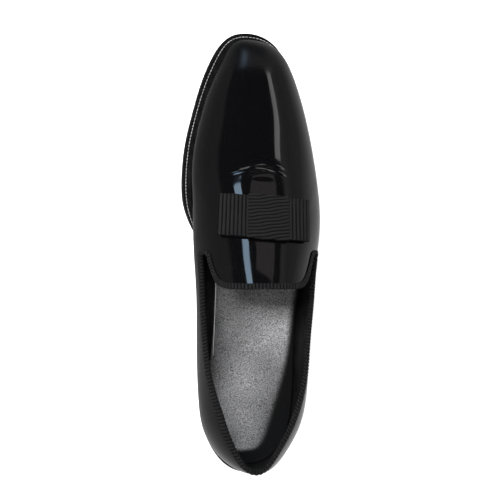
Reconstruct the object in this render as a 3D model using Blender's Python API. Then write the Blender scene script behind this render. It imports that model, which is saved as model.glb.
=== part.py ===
"""Right-foot evening slipper: a patent upper on a leather sole, bound in ribbon, with a flat ribbon bow.

Lengths here are millimetres in the shoemaker's own frame: s runs from the back of the heel to the toe, x to the
outer (lateral) side of the foot and z up from the floor. build_object turns them into metres, and the empty
"shoe" carries the pieces to the middle of their bounding box.
"""

import math

import bmesh
import bpy
import numpy as np

# Thicknesses and gaps
MM = 0.001
GAP = 0.3
LEATHER_WALL = 1.8
RIBBON = 0.55
BINDING_RIBBON = 0.5
SKIVED_SHARE = 0.6
SOLE_THICKNESS = 4.5
WELT_THICKNESS = 2.4
INSOLE_THICKNESS = 2.2
TOP_PIECE_THICKNESS = 6.0

# Lengthwise places, as s
SOLE_BACK, SOLE_FRONT = 0.0, 303.0
FEATHER_BACK, FEATHER_FRONT = 5.2, 295.8
SIDE_BACK, SIDE_FRONT = 4.0, 296.8
SEAT_END = 92.0
TREAD_START, TREAD_END = 188.0, 222.0
WELT_END_LATERAL, WELT_END_MEDIAL = 124.0, 160.0
NOTCH_SIDES, NOTCH_TIP = 147.0, 150.0
THROAT = 127.5

# Plan radii at the two ends of the shoe; at the toe on the medial and on the lateral side
HEEL_RADIUS, SIDE_HEEL_RADIUS = 27.0, 28.0
SOLE_TOE_RADII, SIDE_TOE_RADII = (27.5, 41.0), (26.5, 64.0)

# Heights of the sole
SEAT_BACK_Z, SEAT_SLOPE = 25.5, 0.033
TOE_SPRING = 10.0

# The last: one row per cross-section. side_* is where the upper is widest, ridge_* its top line (behind the
# throat, where the shoe is open, the line that the quarters lean towards), sole_* the outsole's edge and ledge_*
# how far the upper stands in from that edge where it meets the sole.
SECTION_COLUMNS = (
    "s", "side_medial", "side_lateral", "side_z", "ridge_x", "ridge_z",
    "sole_medial", "sole_lateral", "ledge_medial", "ledge_lateral",
)
SECTION_ROWS = [
    (20, 27.0, 22.9, 50.0, 0.0, 90.5, 26.6, 26.8, 2.6, 4.4),
    (36, 33.9, 31.6, 50.0, 0.0, 91.5, 31.6, 31.8, 2.4, 2.8),
    (52, 36.0, 35.4, 49.0, 0.0, 93.5, 32.6, 33.4, 2.2, 2.2),
    (72, 36.9, 37.0, 47.0, 0.0, 98.5, 30.0, 34.2, 1.0, 1.8),
    (94, 36.7, 38.4, 43.5, 0.3, 101.0, 25.2, 35.7, -1.6, 2.2),
    (116, 36.6, 41.3, 40.0, 1.5, 94.5, 21.2, 39.0, -4.0, 2.6),
    (138, 37.2, 44.4, 36.0, 3.2, 82.5, 21.6, 45.4, -3.2, 3.2),
    (160, 37.7, 48.2, 31.5, 4.8, 72.5, 32.5, 50.4, 2.6, 4.2),
    (182, 37.6, 49.7, 27.5, 5.6, 62.5, 41.7, 51.9, 6.2, 4.8),
    (204, 38.0, 48.3, 24.0, 5.2, 54.0, 43.1, 51.4, 6.8, 5.2),
    (226, 35.7, 45.1, 22.0, 4.4, 48.5, 40.8, 48.4, 6.7, 5.3),
    (248, 30.4, 40.4, 21.0, 3.6, 45.0, 35.7, 43.2, 6.8, 4.8),
    (268, 23.4, 34.4, 21.0, 2.8, 42.0, 30.0, 37.1, 8.0, 4.4),
    (284, 15.8, 27.0, 22.0, 2.2, 38.5, 23.6, 29.6, 8.6, 3.4),
]
SECTION = dict(zip(SECTION_COLUMNS, np.array(SECTION_ROWS, float).T))
SECTION_POWER = 2.1
TOE_BOX_RISE, TOE_POWER = 28.5, 2.7

# The topline of the quarters, and the tongue-shaped end of the vamp as shares of the half width
TOPLINE_ROWS = [
    (8, 86.0), (27, 84.0), (49, 80.3), (67, 75.3), (80, 71.5), (93, 67.0), (106, 62.3), (126, 56.5), (147, 50.5),
]
TONGUE_SHARE = 0.84
TONGUE_CORNER = 12.0
NOTCH_SPAN = 0.06
APPROACH_QUARTER, APPROACH_NOTCH, APPROACH_TONGUE = 2.0, 6.0, 60.0
HEEL_LEAN, HEEL_ROLL = 4.4, 2.6
LEAN_FROM_Z, LEAN_HEIGHT, LEAN_REACH = 50.0, 36.0, 60.0

# Pieces on the upper
LASTING_MARGIN = 9.0
BINDING_WIDTH, BINDING_GAP = 3.1, 0.5
BOW_S, BOW_X, BOW_TURN = 172.8, 6.3, math.radians(4.2)
BOW_HALF_LENGTH, BOW_DEPTH = 29.1, 27.4
BOW_BASE, BOW_LIFT, BOW_PUFF, BOW_PINCH, BOW_RISE_LENGTH = 0.6, 0.6, 1.7, 0.8, 8.0
BAND_HALF_WIDTH, BAND_CLEARANCE, BAND_OFFSET = 13.1, 0.45, 1.8
BOW_END_POWER, BAND_END_POWER = 4.0, 8.0

# The heel: where its breast and its rubber tip end on each side, and how far its sides draw in
BREAST_LATERAL, BREAST_MEDIAL, BREAST_HOLLOW = 83.0, 90.0, 8.0
TIP_LATERAL, TIP_MEDIAL = 44.0, 29.0
HEEL_INSET_TOP, HEEL_INSET_BOTTOM, HEEL_BEVEL = 0.6, 2.0, 0.8
SOLE_BEVEL = 0.7

# Mesh steps
QUARTER_STEPS, NOTCH_STEPS, VAMP_STEPS = 17, 8, 38
LOWER_HEIGHTS = (0.0, 0.3, 0.65)
WALL_ROWS, WALL_ROW_POWER = 11, 1.8
TOPLINE_STEP = 0.004
SOLE_STEPS = 48
HEEL_STEPS, BREAST_STEPS = 24, 10
LOOP_STEPS, BAND_STEPS, RIBBON_ROWS = 19, 17, 5

COLOURS = {
    "outsole": ((0.02, 0.02, 0.02), 0.2),
    "welt": ((0.02, 0.02, 0.02), 0.4),
    "heel_stack": ((0.02, 0.02, 0.02), 0.3),
    "heel_top_piece": ((0.02, 0.02, 0.02), 0.3),
    "heel_tip": ((0.03, 0.03, 0.03), 0.7),
    "insole": ((0.16, 0.16, 0.16), 0.6),
    "upper": ((0.01, 0.01, 0.01), 0.06),
    "topline_binding": ((0.03, 0.03, 0.03), 0.7),
    "bow_ribbon": ((0.03, 0.03, 0.03), 0.7),
    "bow_band": ((0.03, 0.03, 0.03), 0.7),
}


def unit(vectors):
    return vectors / np.linalg.norm(vectors, axis=-1, keepdims=True)


def along_ring(ring):
    return unit(np.roll(ring, -1, axis=0) - np.roll(ring, 1, axis=0))


def natural_spline(xs, ys):
    """A smooth curve through the points, going on straight beyond both ends."""
    xs, ys = np.asarray(xs, float), np.asarray(ys, float)
    steps = np.diff(xs)
    slopes = np.diff(ys) / steps
    system = np.eye(len(xs))
    wanted = np.zeros(len(xs))
    for i in range(1, len(xs) - 1):
        system[i, i - 1 : i + 2] = steps[i - 1], 2 * (steps[i - 1] + steps[i]), steps[i]
        wanted[i] = 6 * (slopes[i] - slopes[i - 1])
    bends = np.linalg.solve(system, wanted)
    first_slope = slopes[0] - steps[0] * bends[1] / 6
    last_slope = slopes[-1] + steps[-1] * bends[-2] / 6

    def curve(x):
        x = np.asarray(x, float)
        inside = np.clip(x, xs[0], xs[-1])
        k = np.clip(np.searchsorted(xs, inside) - 1, 0, len(steps) - 1)
        right = (inside - xs[k]) / steps[k]
        left = 1 - right
        bend = (left**3 - left) * bends[k] + (right**3 - right) * bends[k + 1]
        beyond = np.where(x < xs[0], first_slope, last_slope) * (x - inside)
        return left * ys[k] + right * ys[k + 1] + bend * steps[k] ** 2 / 6 + beyond

    return curve


def section_curve(column, ends=()):
    """A section column as a curve of s, with extra (s, value) rows where given."""
    rows = sorted([*zip(SECTION["s"], SECTION[column]), *ends])
    return natural_spline(*zip(*rows))


SIDE_Z = section_curve("side_z")
RIDGE_X = section_curve("ridge_x", [(SIDE_BACK, 0.0), (SIDE_FRONT, 0.0)])
TOPLINE_Z = natural_spline(*zip(*TOPLINE_ROWS))


class Outline:
    """A closed plan curve followed by an angle: 0 at the heel's back, pi at the toe, the lateral side first."""

    def __init__(self, back, front, heel_radius, toe_radii, medial, lateral):
        self.back, self.front = back, front
        self.heel_radius, self.toe_radii = heel_radius, np.asarray(toe_radii)
        self.medial, self.lateral = np.asarray(medial), np.asarray(lateral)
        angles = self.angle(SECTION["s"])
        heel, *toes = np.sqrt(np.array([heel_radius, *toe_radii]) * (front - back) / 2)
        self.spread_medial, self.spread_lateral = (
            natural_spline([0, *angles, math.pi], [heel, *(widths / np.sin(angles)), toe])
            for widths, toe in zip((self.medial, self.lateral), toes)
        )

    def grown(self, by):
        return Outline(
            self.back - by, self.front + by, self.heel_radius + by, self.toe_radii + by,
            self.medial + by, self.lateral + by,
        )

    def angle(self, s):
        share = (np.asarray(s, float) - self.back) / (self.front - self.back)
        return np.arccos(1 - 2 * np.clip(share, 0, 1))

    def half_widths(self, s):
        """How far the curve stands out on the medial and the lateral side at s."""
        angle = self.angle(s)
        return np.sin(angle) * self.spread_medial(angle), np.sin(angle) * self.spread_lateral(angle)

    def point(self, angle):
        angle = np.asarray(angle, float) % (2 * math.pi)
        spread = np.where(
            angle <= math.pi, self.spread_lateral(angle), self.spread_medial(2 * math.pi - angle)
        )
        s = self.back + (self.front - self.back) * (1 - np.cos(angle)) / 2
        return np.sin(angle) * spread, s


SOLE = Outline(
    SOLE_BACK, SOLE_FRONT, HEEL_RADIUS, SOLE_TOE_RADII, SECTION["sole_medial"], SECTION["sole_lateral"]
)
FEATHER = Outline(
    FEATHER_BACK, FEATHER_FRONT, HEEL_RADIUS, SIDE_TOE_RADII,
    SECTION["sole_medial"] - SECTION["ledge_medial"], SECTION["sole_lateral"] - SECTION["ledge_lateral"],
)
SIDE = Outline(
    SIDE_BACK, SIDE_FRONT, SIDE_HEEL_RADIUS, SIDE_TOE_RADII, SECTION["side_medial"], SECTION["side_lateral"]
)


def toe_closing(outline, s):
    """1 behind the middle of the shoe, falling to 0 at the toe with a blunt, rounded edge."""
    ahead = np.clip(-np.cos(outline.angle(s)), 0, 1)
    return (1 - ahead**TOE_POWER) ** (1 / TOE_POWER)


RISE = natural_spline(
    [*SECTION["s"], SIDE_FRONT],
    [*(SECTION["ridge_z"] - SECTION["side_z"]) / toe_closing(SIDE, SECTION["s"]), TOE_BOX_RISE],
)


class LastSurface:
    """The upper's shape above its widest line, grown outwards by a distance."""

    def __init__(self, grow):
        self.grow = grow
        self.side = SIDE.grown(grow)

    def rise(self, s):
        return (RISE(s) + self.grow) * toe_closing(self.side, s)

    def spans(self, s):
        """Plan distances from the ridge to the widest line, medial and lateral."""
        medial, lateral = self.side.half_widths(s)
        return medial + RIDGE_X(s), lateral - RIDGE_X(s)

    def point(self, s, share):
        """The point at s whose share of the half width is given, negative on the medial side."""
        medial, lateral = self.spans(s)
        x = RIDGE_X(s) + share * np.where(share < 0, medial, lateral)
        height = np.clip(1 - np.abs(share) ** SECTION_POWER, 0, 1) ** (1 / SECTION_POWER)
        z = SIDE_Z(s) + self.rise(s) * height
        lean = heel_lean(s, z)
        return np.stack([x - HEEL_ROLL * lean, s + HEEL_LEAN * lean, z], axis=-1)

    def plan_share(self, x, s):
        medial, lateral = self.spans(s)
        across = x - RIDGE_X(s)
        return np.clip(across / np.maximum(np.where(across < 0, medial, lateral), 1e-6), -1, 1)


def heel_lean(s, z):
    """How much of its lean the heel's back has at a height: 0 low down, 1 at the topline."""
    fade = np.clip(1 - (s - SIDE_BACK) / LEAN_REACH, 0, 1) ** 2
    return fade * np.clip((z - LEAN_FROM_Z) / LEAN_HEIGHT, 0, None) ** 2


OUTSIDE = LastSurface(0.0)
INSIDE = LastSurface(-LEATHER_WALL)


def sole_bottom(s):
    """Height of the outsole's underside: sloped seat, waist, flat tread and toe spring."""
    s = np.asarray(s, float)
    seat = SEAT_BACK_Z - SEAT_SLOPE * s
    length = TREAD_START - SEAT_END
    t = np.clip((s - SEAT_END) / length, 0, 1)
    start_z = SEAT_BACK_Z - SEAT_SLOPE * SEAT_END
    waist = start_z * (1 + np.cos(math.pi * t)) / 2 - SEAT_SLOPE * length * t * (1 - t) ** 2
    spring = TOE_SPRING * np.clip((s - TREAD_END) / (SOLE_FRONT - TREAD_END), 0, None) ** 2
    return np.where(s < SEAT_END, seat, np.where(s < TREAD_START, waist, spring))


def sole_top(s):
    return sole_bottom(s) + SOLE_THICKNESS


def quarter_share(s):
    """Share of the half width at which the quarter reaches its topline."""
    height = np.clip((TOPLINE_Z(s) - SIDE_Z(s)) / OUTSIDE.rise(s), 0, 1)
    return (1 - height**SECTION_POWER) ** (1 / SECTION_POWER)


NOTCH_ANGLE = float(SIDE.angle(NOTCH_TIP))
QUARTER_END, TONGUE_START = NOTCH_ANGLE - NOTCH_SPAN, NOTCH_ANGLE + NOTCH_SPAN


def topline(angle, back):
    """(s, share of the half width) of the open edge for one angle, on a surface that starts at back."""
    side = 1 if angle <= math.pi else -1
    turn = angle if angle <= math.pi else 2 * math.pi - angle
    if turn <= QUARTER_END:
        along = (1 - math.cos(turn)) / (1 - math.cos(QUARTER_END))
        share = quarter_share(SIDE_BACK + (NOTCH_SIDES - SIDE_BACK) * along)
        return back + (NOTCH_SIDES - back) * along, side * float(share)
    if turn < TONGUE_START:
        around = math.pi * (turn - QUARTER_END) / (2 * NOTCH_SPAN)
        ends = float(quarter_share(NOTCH_SIDES)), TONGUE_SHARE
        share = (ends[0] + ends[1]) / 2 + (ends[0] - ends[1]) / 2 * math.cos(around)
        return NOTCH_SIDES + (NOTCH_TIP - NOTCH_SIDES) * math.sin(around), side * share
    across = (math.pi - turn) / (math.pi - TONGUE_START)
    s = THROAT + (NOTCH_SIDES - THROAT) * across**TONGUE_CORNER
    return s, side * TONGUE_SHARE * across


def upper_angles():
    quarter = np.linspace(0, QUARTER_END, QUARTER_STEPS, endpoint=False)
    notch = np.linspace(QUARTER_END, TONGUE_START, NOTCH_STEPS, endpoint=False)
    half_vamp = np.linspace(TONGUE_START, math.pi, VAMP_STEPS // 2 + 1)
    lateral = np.concatenate([quarter, notch, half_vamp])
    return np.concatenate([lateral, 2 * math.pi - lateral[-2:0:-1]])


def topline_plan(surface, angle):
    s, share = topline(angle, surface.side.back)
    return surface.point(np.array(s), np.array(share))[:2]


def approach(angle):
    """How far before the topline a path turns square to it: short round the notch, longer along the tongue."""
    turn = min(angle, 2 * math.pi - angle)
    notch_share = np.clip((turn - QUARTER_END) / (TONGUE_START - QUARTER_END), 0, 1)
    tongue_share = np.clip((turn - TONGUE_START) / (math.pi - TONGUE_START), 0, 1)
    straight = APPROACH_QUARTER + (APPROACH_NOTCH - APPROACH_QUARTER) * notch_share
    return straight + APPROACH_TONGUE * tongue_share


def wall_path(surface, angle, samples=160):
    """Points on the surface from its widest line up to the topline, for one angle of the outline."""
    t = np.linspace(0, 1, samples) ** 2
    start = np.array(surface.side.point(angle))
    if min(angle, 2 * math.pi - angle) <= QUARTER_END:
        end_s, end_share = topline(angle, surface.side.back)
        share = np.sign(end_share) * (1 - t) + end_share * t
        return surface.point(start[1] * (1 - t) + end_s * t, share)
    end = topline_plan(surface, angle)
    ahead = topline_plan(surface, angle + TOPLINE_STEP) - topline_plan(surface, angle - TOPLINE_STEP)
    square = unit(np.array([ahead[1], -ahead[0]]))
    turn_point = end + square * min(approach(angle), np.linalg.norm(end - start) / 2)
    t = t[:, None]
    plan = start * (1 - t) ** 2 + turn_point * 2 * t * (1 - t) + end * t**2
    return surface.point(plan[:, 1], surface.plan_share(plan[:, 0], plan[:, 1]))


def arc_lengths(path):
    return np.concatenate([[0], np.cumsum(np.linalg.norm(np.diff(path, axis=0), axis=1))])


def at_lengths(path, lengths):
    done = arc_lengths(path)
    return np.stack([np.interp(lengths, done, path[:, i]) for i in range(3)], axis=-1)


def lower_wall(surface, angles, height):
    """The wall between the sole and the widest line: height 0 at the sole, 1 at the widest line."""
    bottom_x, bottom_s = FEATHER.grown(surface.grow).point(angles)
    side_x, side_s = surface.side.point(angles)
    bottom_z = sole_top(bottom_s) + GAP - surface.grow
    out = 2 * height - height**2
    x = bottom_x + (side_x - bottom_x) * out
    s = bottom_s + (side_s - bottom_s) * out
    return np.stack([x, s, bottom_z + (SIDE_Z(side_s) - bottom_z) * height], axis=-1)


def wall_rows(surface, angles):
    """Rings of the wall from the lasting margin under the foot to the topline."""
    margin_x, margin_s = FEATHER.grown(-LASTING_MARGIN).point(angles)
    rows = [np.stack([margin_x, margin_s, sole_top(margin_s) + GAP - surface.grow], axis=-1)]
    rows += [lower_wall(surface, angles, height) for height in LOWER_HEIGHTS]
    paths = [wall_path(surface, angle) for angle in angles]
    columns = []
    for path, depth in zip(paths, edge_depths(paths)):
        length = arc_lengths(path)[-1]
        shares = np.linspace(0, 1, WALL_ROWS - 1) ** WALL_ROW_POWER
        steps = [*(length - depth) * shares, length]
        columns.append(at_lengths(path, steps))
    return rows + list(np.stack(columns, axis=1))


def edge_directions(paths):
    """(along the topline, from it into the leather) at the upper end of each path."""
    tangent = along_ring(np.array([path[-1] for path in paths]))
    inward = unit(np.array([at_lengths(path[::-1], [BINDING_WIDTH])[0] - path[-1] for path in paths]))
    return tangent, inward


def edge_depths(paths):
    """How far down each path the binding's edge lies, longer where the path leaves the topline at a slant."""
    square = np.linalg.norm(np.cross(*edge_directions(paths)), axis=-1)
    return BINDING_WIDTH / np.maximum(square, 0.5)


def edge_band(surface, angles, share):
    """(points, normals, inward directions) of the surface at a share of the binding's width from the topline."""
    paths = [wall_path(surface, angle) for angle in angles]
    tangent, inward = edge_directions(paths)
    depths = share * edge_depths(paths)
    points = np.array([at_lengths(path[::-1], [depth])[0] for path, depth in zip(paths, depths)])
    normals = unit(np.cross(inward, along_ring(points)))
    return points, normals, unit(inward - tangent * np.sum(inward * tangent, axis=-1, keepdims=True))


def skived(outside, inside, share):
    """The wall's inside thinned towards the topline, at a share of the binding's width from it."""
    return outside + (inside - outside) * (SKIVED_SHARE + (1 - SKIVED_SHARE) * share)


def upper_rings(angles):
    """Rings of the whole wall: up its outside and down its inside, thinner at the topline."""
    outside, inside = wall_rows(OUTSIDE, angles), wall_rows(INSIDE, angles)
    inside[-1] = skived(outside[-1], inside[-1], 0.0)
    return outside + inside[::-1]


def inner_band(angles, share):
    """The band of edge_band on the wall's inside, where the leather is thinned."""
    points, normals, inward = edge_band(INSIDE, angles, share)
    return skived(edge_band(OUTSIDE, angles, share)[0], points, share), normals, inward


def binding_rows(angles):
    """Rings of the ribbon folded over the topline, once round its U-shaped section."""
    shares = (1.0, 0.5, 0.0)
    outer = [edge_band(OUTSIDE, angles, share) for share in shares]
    inner = [inner_band(angles, share) for share in reversed(shares)]

    def fold(clearance):
        rows = [points + normals * clearance for points, normals, _ in outer]
        rows += [points - inward * clearance for points, _, inward in (outer[-1], inner[0])]
        return rows + [points - normals * clearance for points, normals, _ in inner]

    return fold(BINDING_GAP + BINDING_RIBBON) + fold(BINDING_GAP)[::-1]


def sole_angles():
    half = np.linspace(0, math.pi, SOLE_STEPS + 1)
    half = np.union1d(half, SOLE.angle([SEAT_END, TREAD_START, TREAD_END]))
    return np.concatenate([half, 2 * math.pi - half[-2:0:-1]])


def level_ring(outline, angles, height, extra=0.0):
    """A ring on an outline whose height is a function of s."""
    x, s = outline.point(angles)
    return np.stack([x, s, height(s) + extra], axis=-1)


def outsole_rings():
    angles = sole_angles()
    drawn_in = SOLE.grown(-SOLE_BEVEL)
    return [
        level_ring(drawn_in, angles, sole_bottom),
        level_ring(SOLE, angles, sole_bottom, SOLE_BEVEL),
        level_ring(SOLE, angles, sole_top, -SOLE_BEVEL / 2),
        level_ring(SOLE.grown(-SOLE_BEVEL / 2), angles, sole_top),
    ]


def insole_rings():
    angles = upper_angles()
    outline = FEATHER.grown(-LEATHER_WALL - GAP)
    base = LEATHER_WALL + 2 * GAP
    return [
        level_ring(outline, angles, sole_top, base),
        level_ring(outline, angles, sole_top, base + INSOLE_THICKNESS - SOLE_BEVEL),
        level_ring(outline.grown(-SOLE_BEVEL), angles, sole_top, base + INSOLE_THICKNESS),
    ]


def welt_sections():
    """Cross-sections of the welt from its lateral end, round the toe, to its medial end."""
    angles = upper_angles()
    first = float(FEATHER.angle(WELT_END_LATERAL))
    last = 2 * math.pi - float(FEATHER.angle(WELT_END_MEDIAL))
    angles = angles[(angles > first) & (angles < last)]
    wall_foot = lower_wall(OUTSIDE, angles, 0.0)
    wall_height = SIDE_Z(wall_foot[:, 1]) - wall_foot[:, 2]
    wall = lower_wall(OUTSIDE, angles, (WELT_THICKNESS / wall_height))
    side_x, side_s = SIDE.point(angles)
    outward = unit(np.stack([side_x, side_s], axis=-1) - wall_foot[:, :2])
    inner = wall[:, :2] + outward * GAP
    outer = np.stack(SOLE.grown(-SOLE_BEVEL / 2).point(angles), axis=-1)
    bevelled = outer + unit(inner - outer) * SOLE_BEVEL
    base = sole_top(outer[:, 1]) + GAP
    inner_base = sole_top(inner[:, 1]) + GAP
    corners = [
        (inner, inner_base), (outer, base), (outer, base + WELT_THICKNESS - SOLE_BEVEL),
        (bevelled, base + WELT_THICKNESS), (inner, inner_base + WELT_THICKNESS),
    ]
    return np.stack([np.column_stack([xy, z]) for xy, z in corners], axis=1)


def heel_ring(inset, z, lateral_s, medial_s, front):
    """A level ring round the back of the heel between two places, closed in front by the given points."""
    outline = SOLE.grown(-inset)
    angles = np.linspace(float(outline.angle(lateral_s)), -float(outline.angle(medial_s)), HEEL_STEPS)
    x, s = outline.point(angles)
    ends = np.column_stack([x[[-1, 0]], s[[-1, 0]]])
    plan = np.concatenate([np.column_stack([x, s]), front(*ends)])
    return np.column_stack([plan, z(plan[:, 1])])


def breast(medial, lateral):
    """Points of the hollow heel breast between its two corners."""
    t = np.linspace(0, 1, BREAST_STEPS)[1:-1, None]
    hollow = np.array([0.0, -BREAST_HOLLOW]) * 4 * t * (1 - t)
    return medial + (lateral - medial) * t + hollow


def no_points(medial, lateral):
    return np.empty((0, 2))


def level(z):
    return lambda s: np.full_like(s, z)


def heel_stack_rings():
    def seat(s):
        return SEAT_BACK_Z - SEAT_SLOPE * s - GAP

    foot = level(TOP_PIECE_THICKNESS + GAP)
    return [
        heel_ring(HEEL_INSET_BOTTOM, foot, BREAST_LATERAL, BREAST_MEDIAL, breast),
        heel_ring(HEEL_INSET_TOP, seat, BREAST_LATERAL, BREAST_MEDIAL, breast),
    ]


def wearing_layer(ring):
    """Three levels of a piece of the heel's wearing layer: bevelled foot, side, top."""
    return [
        ring(HEEL_INSET_BOTTOM + HEEL_BEVEL, level(0.0)),
        ring(HEEL_INSET_BOTTOM, level(HEEL_BEVEL)),
        ring(HEEL_INSET_BOTTOM, level(TOP_PIECE_THICKNESS)),
    ]


def heel_tip_rings():
    return wearing_layer(lambda inset, z: heel_ring(inset, z, TIP_LATERAL, TIP_MEDIAL, no_points))


def heel_top_piece_rings():
    def ring(inset, z):
        outline = SOLE.grown(-inset)
        ends = outline.angle([BREAST_LATERAL, TIP_LATERAL + GAP, TIP_MEDIAL + GAP, BREAST_MEDIAL])
        angles = np.concatenate([
            np.linspace(ends[0], ends[1], HEEL_STEPS // 2), np.linspace(-ends[2], -ends[3], HEEL_STEPS // 2)
        ])
        x, s = outline.point(angles)
        corners = np.column_stack([x, s])
        plan = np.concatenate([corners, breast(corners[-1], corners[0])])
        return np.column_stack([plan, z(plan[:, 1])])

    return wearing_layer(ring)


def on_vamp(x, s, height):
    """Points above the vamp at plan places, lifted along its normal."""
    def surface(x, s):
        return OUTSIDE.point(s, OUTSIDE.plan_share(x, s))

    step = 0.5
    across = surface(x + step, s) - surface(x - step, s)
    forward = surface(x, s + step) - surface(x, s - step)
    return surface(x, s) + unit(np.cross(across, forward)) * height[..., None]


def on_bow(across, forward, height):
    """Points of the bow in its own frame, which is turned a little on the vamp."""
    across, forward, height = np.broadcast_arrays(across, forward, height)
    x = BOW_X + across * math.cos(BOW_TURN) + forward * math.sin(BOW_TURN)
    s = BOW_S - across * math.sin(BOW_TURN) + forward * math.cos(BOW_TURN)
    return on_vamp(x, s, height)


def flat_loop(half_length, power, steps):
    """(place, lift) round a flattened loop: places run out and back, lift is 1 on top and -1 below."""
    place = np.sin(np.linspace(-math.pi / 2, math.pi / 2, steps))
    lift = (1 - np.abs(place) ** power) ** (1 / power)
    return (
        half_length * np.concatenate([place, place[-2:0:-1]]), np.concatenate([lift, -lift[-2:0:-1]])
    )


BAND_HALF_HEIGHT = 2 * RIBBON + 1.5 * GAP


def ribbon_loop(shrink):
    """The bow's loop across the vamp, pinched to a flat stack where the band holds it."""
    across, lift = flat_loop(BOW_HALF_LENGTH - shrink, BOW_END_POWER, LOOP_STEPS)
    held = BAND_HALF_WIDTH + BOW_PINCH
    free = np.clip((np.abs(across - BAND_OFFSET) - held) / BOW_RISE_LENGTH, 0, 1)
    free = free**2 * (3 - 2 * free)
    pinched_half = RIBBON + GAP / 2
    half = pinched_half + (BOW_PUFF - pinched_half) * free
    pinched_bottom = BOW_BASE + RIBBON + GAP
    bottom = pinched_bottom + (BOW_LIFT - pinched_bottom) * free
    return across, bottom + half + lift * (half - shrink)


def band_loop(shrink):
    """The band's loop along the shoe, round the ribbon's width."""
    half_length = BOW_DEPTH / 2 + BAND_CLEARANCE + RIBBON - shrink
    forward, lift = flat_loop(half_length, BAND_END_POWER, BAND_STEPS)
    return forward, BOW_BASE + BAND_HALF_HEIGHT + lift * (BAND_HALF_HEIGHT - shrink)


def ribbon_rings():
    """Rings of the bow's loop: outside from front to back, then inside from back to front."""
    widths = np.linspace(-0.5, 0.5, RIBBON_ROWS) * BOW_DEPTH
    (outer, outer_height), (inner, inner_height) = ribbon_loop(0.0), ribbon_loop(RIBBON)
    return [on_bow(outer, width, outer_height) for width in widths] + [
        on_bow(inner, width, inner_height) for width in widths[::-1]
    ]


def band_rings():
    widths = BAND_OFFSET + np.linspace(-1, 1, RIBBON_ROWS) * BAND_HALF_WIDTH
    (outer, outer_height), (inner, inner_height) = band_loop(0.0), band_loop(RIBBON)
    return [on_bow(width, outer, outer_height) for width in widths] + [
        on_bow(width, inner, inner_height) for width in widths[::-1]
    ]


def ring_faces(count, points, closed):
    """Quads between neighbouring rings; with closed, also between the last ring and the first."""
    faces = []
    for ring in range(count if closed else count - 1):
        here, there = ring * points, (ring + 1) % count * points
        for i in range(points):
            j = (i + 1) % points
            faces.append((here + i, here + j, there + j, there + i))
    return faces


def ladder_faces(start, points):
    """A cap made of strips across a ring that is mirrored about its first point."""
    rungs = points // 2
    faces = [(start, start + 1, start + points - 1)]
    for i in range(1, rungs - 1):
        faces.append((start + i, start + i + 1, start + points - i - 1, start + points - i))
    faces.append((start + rungs - 1, start + rungs, start + rungs + 1))
    return faces


def loop_body(rings):
    """A body whose rings close on themselves both ways, as a ribbon or a shell with two open ends does."""
    return np.concatenate(rings), ring_faces(len(rings), len(rings[0]), True)


def layered_body(rings, caps):
    """A stack of rings closed at both ends; caps makes the faces of one end from its first index and size."""
    points = len(rings[0])
    faces = ring_faces(len(rings), points, False)
    faces += caps(0, points) + caps((len(rings) - 1) * points, points)
    return np.concatenate(rings), faces


def one_face(start, points):
    return [tuple(range(start, start + points))]


def material(name):
    colour, roughness = COLOURS[name]
    made = bpy.data.materials.new(name)
    made.use_nodes = True
    shader = made.node_tree.nodes["Principled BSDF"]
    shader.inputs["Base Color"].default_value = (*colour, 1.0)
    shader.inputs["Roughness"].default_value = roughness
    return made


def build_object(name, body, parent):
    """Adds one closed body to the scene with its faces turned outwards."""
    points, faces = body
    work = bmesh.new()
    vertices = [work.verts.new(point * MM) for point in points]
    for face in faces:
        work.faces.new([vertices[i] for i in face])
    bmesh.ops.recalc_face_normals(work, faces=work.faces[:])
    mesh = bpy.data.meshes.new(name)
    work.to_mesh(mesh)
    work.free()
    mesh.materials.append(material(name))
    piece = bpy.data.objects.new(name, mesh)
    piece.parent = parent
    bpy.context.collection.objects.link(piece)


def plan_middle():
    """Middle of the shoe's plan box, which the sole and the upper's widest line fill between them."""
    angles = np.linspace(0, 2 * math.pi, 721)
    x = np.concatenate([SOLE.point(angles)[0], SIDE.point(angles)[0]])
    return (x.min() + x.max()) / 2, (SOLE_BACK + SOLE_FRONT) / 2


def build_shoe():
    for old in list(bpy.data.objects):
        bpy.data.objects.remove(old)
    shoe = bpy.data.objects.new("shoe", None)
    middle_x, middle_s = plan_middle()
    shoe.location = (-middle_x * MM, -middle_s * MM, 0.0)
    bpy.context.collection.objects.link(shoe)

    angles = upper_angles()
    bodies = {
        "outsole": layered_body(outsole_rings(), ladder_faces),
        "welt": layered_body(list(welt_sections()), one_face),
        "heel_stack": layered_body(heel_stack_rings(), one_face),
        "heel_top_piece": layered_body(heel_top_piece_rings(), one_face),
        "heel_tip": layered_body(heel_tip_rings(), one_face),
        "insole": layered_body(insole_rings(), ladder_faces),
        "upper": loop_body(upper_rings(angles)),
        "topline_binding": loop_body(binding_rows(angles)),
        "bow_ribbon": loop_body(ribbon_rings()),
        "bow_band": loop_body(band_rings()),
    }
    for name, body in bodies.items():
        build_object(name, body, shoe)


build_shoe()
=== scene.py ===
"""Looks of the evening slipper: fine meshes, materials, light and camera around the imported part.

Lengths are millimetres in the shoemaker's frame that the part uses: s runs from the back of the heel to the
toe, x to the outer (lateral) side of the foot and z up from the floor. placed() turns them into the row
frame.
"""

import math

import bmesh
import bpy
import numpy as np
from mathutils import Matrix, Vector


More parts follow.
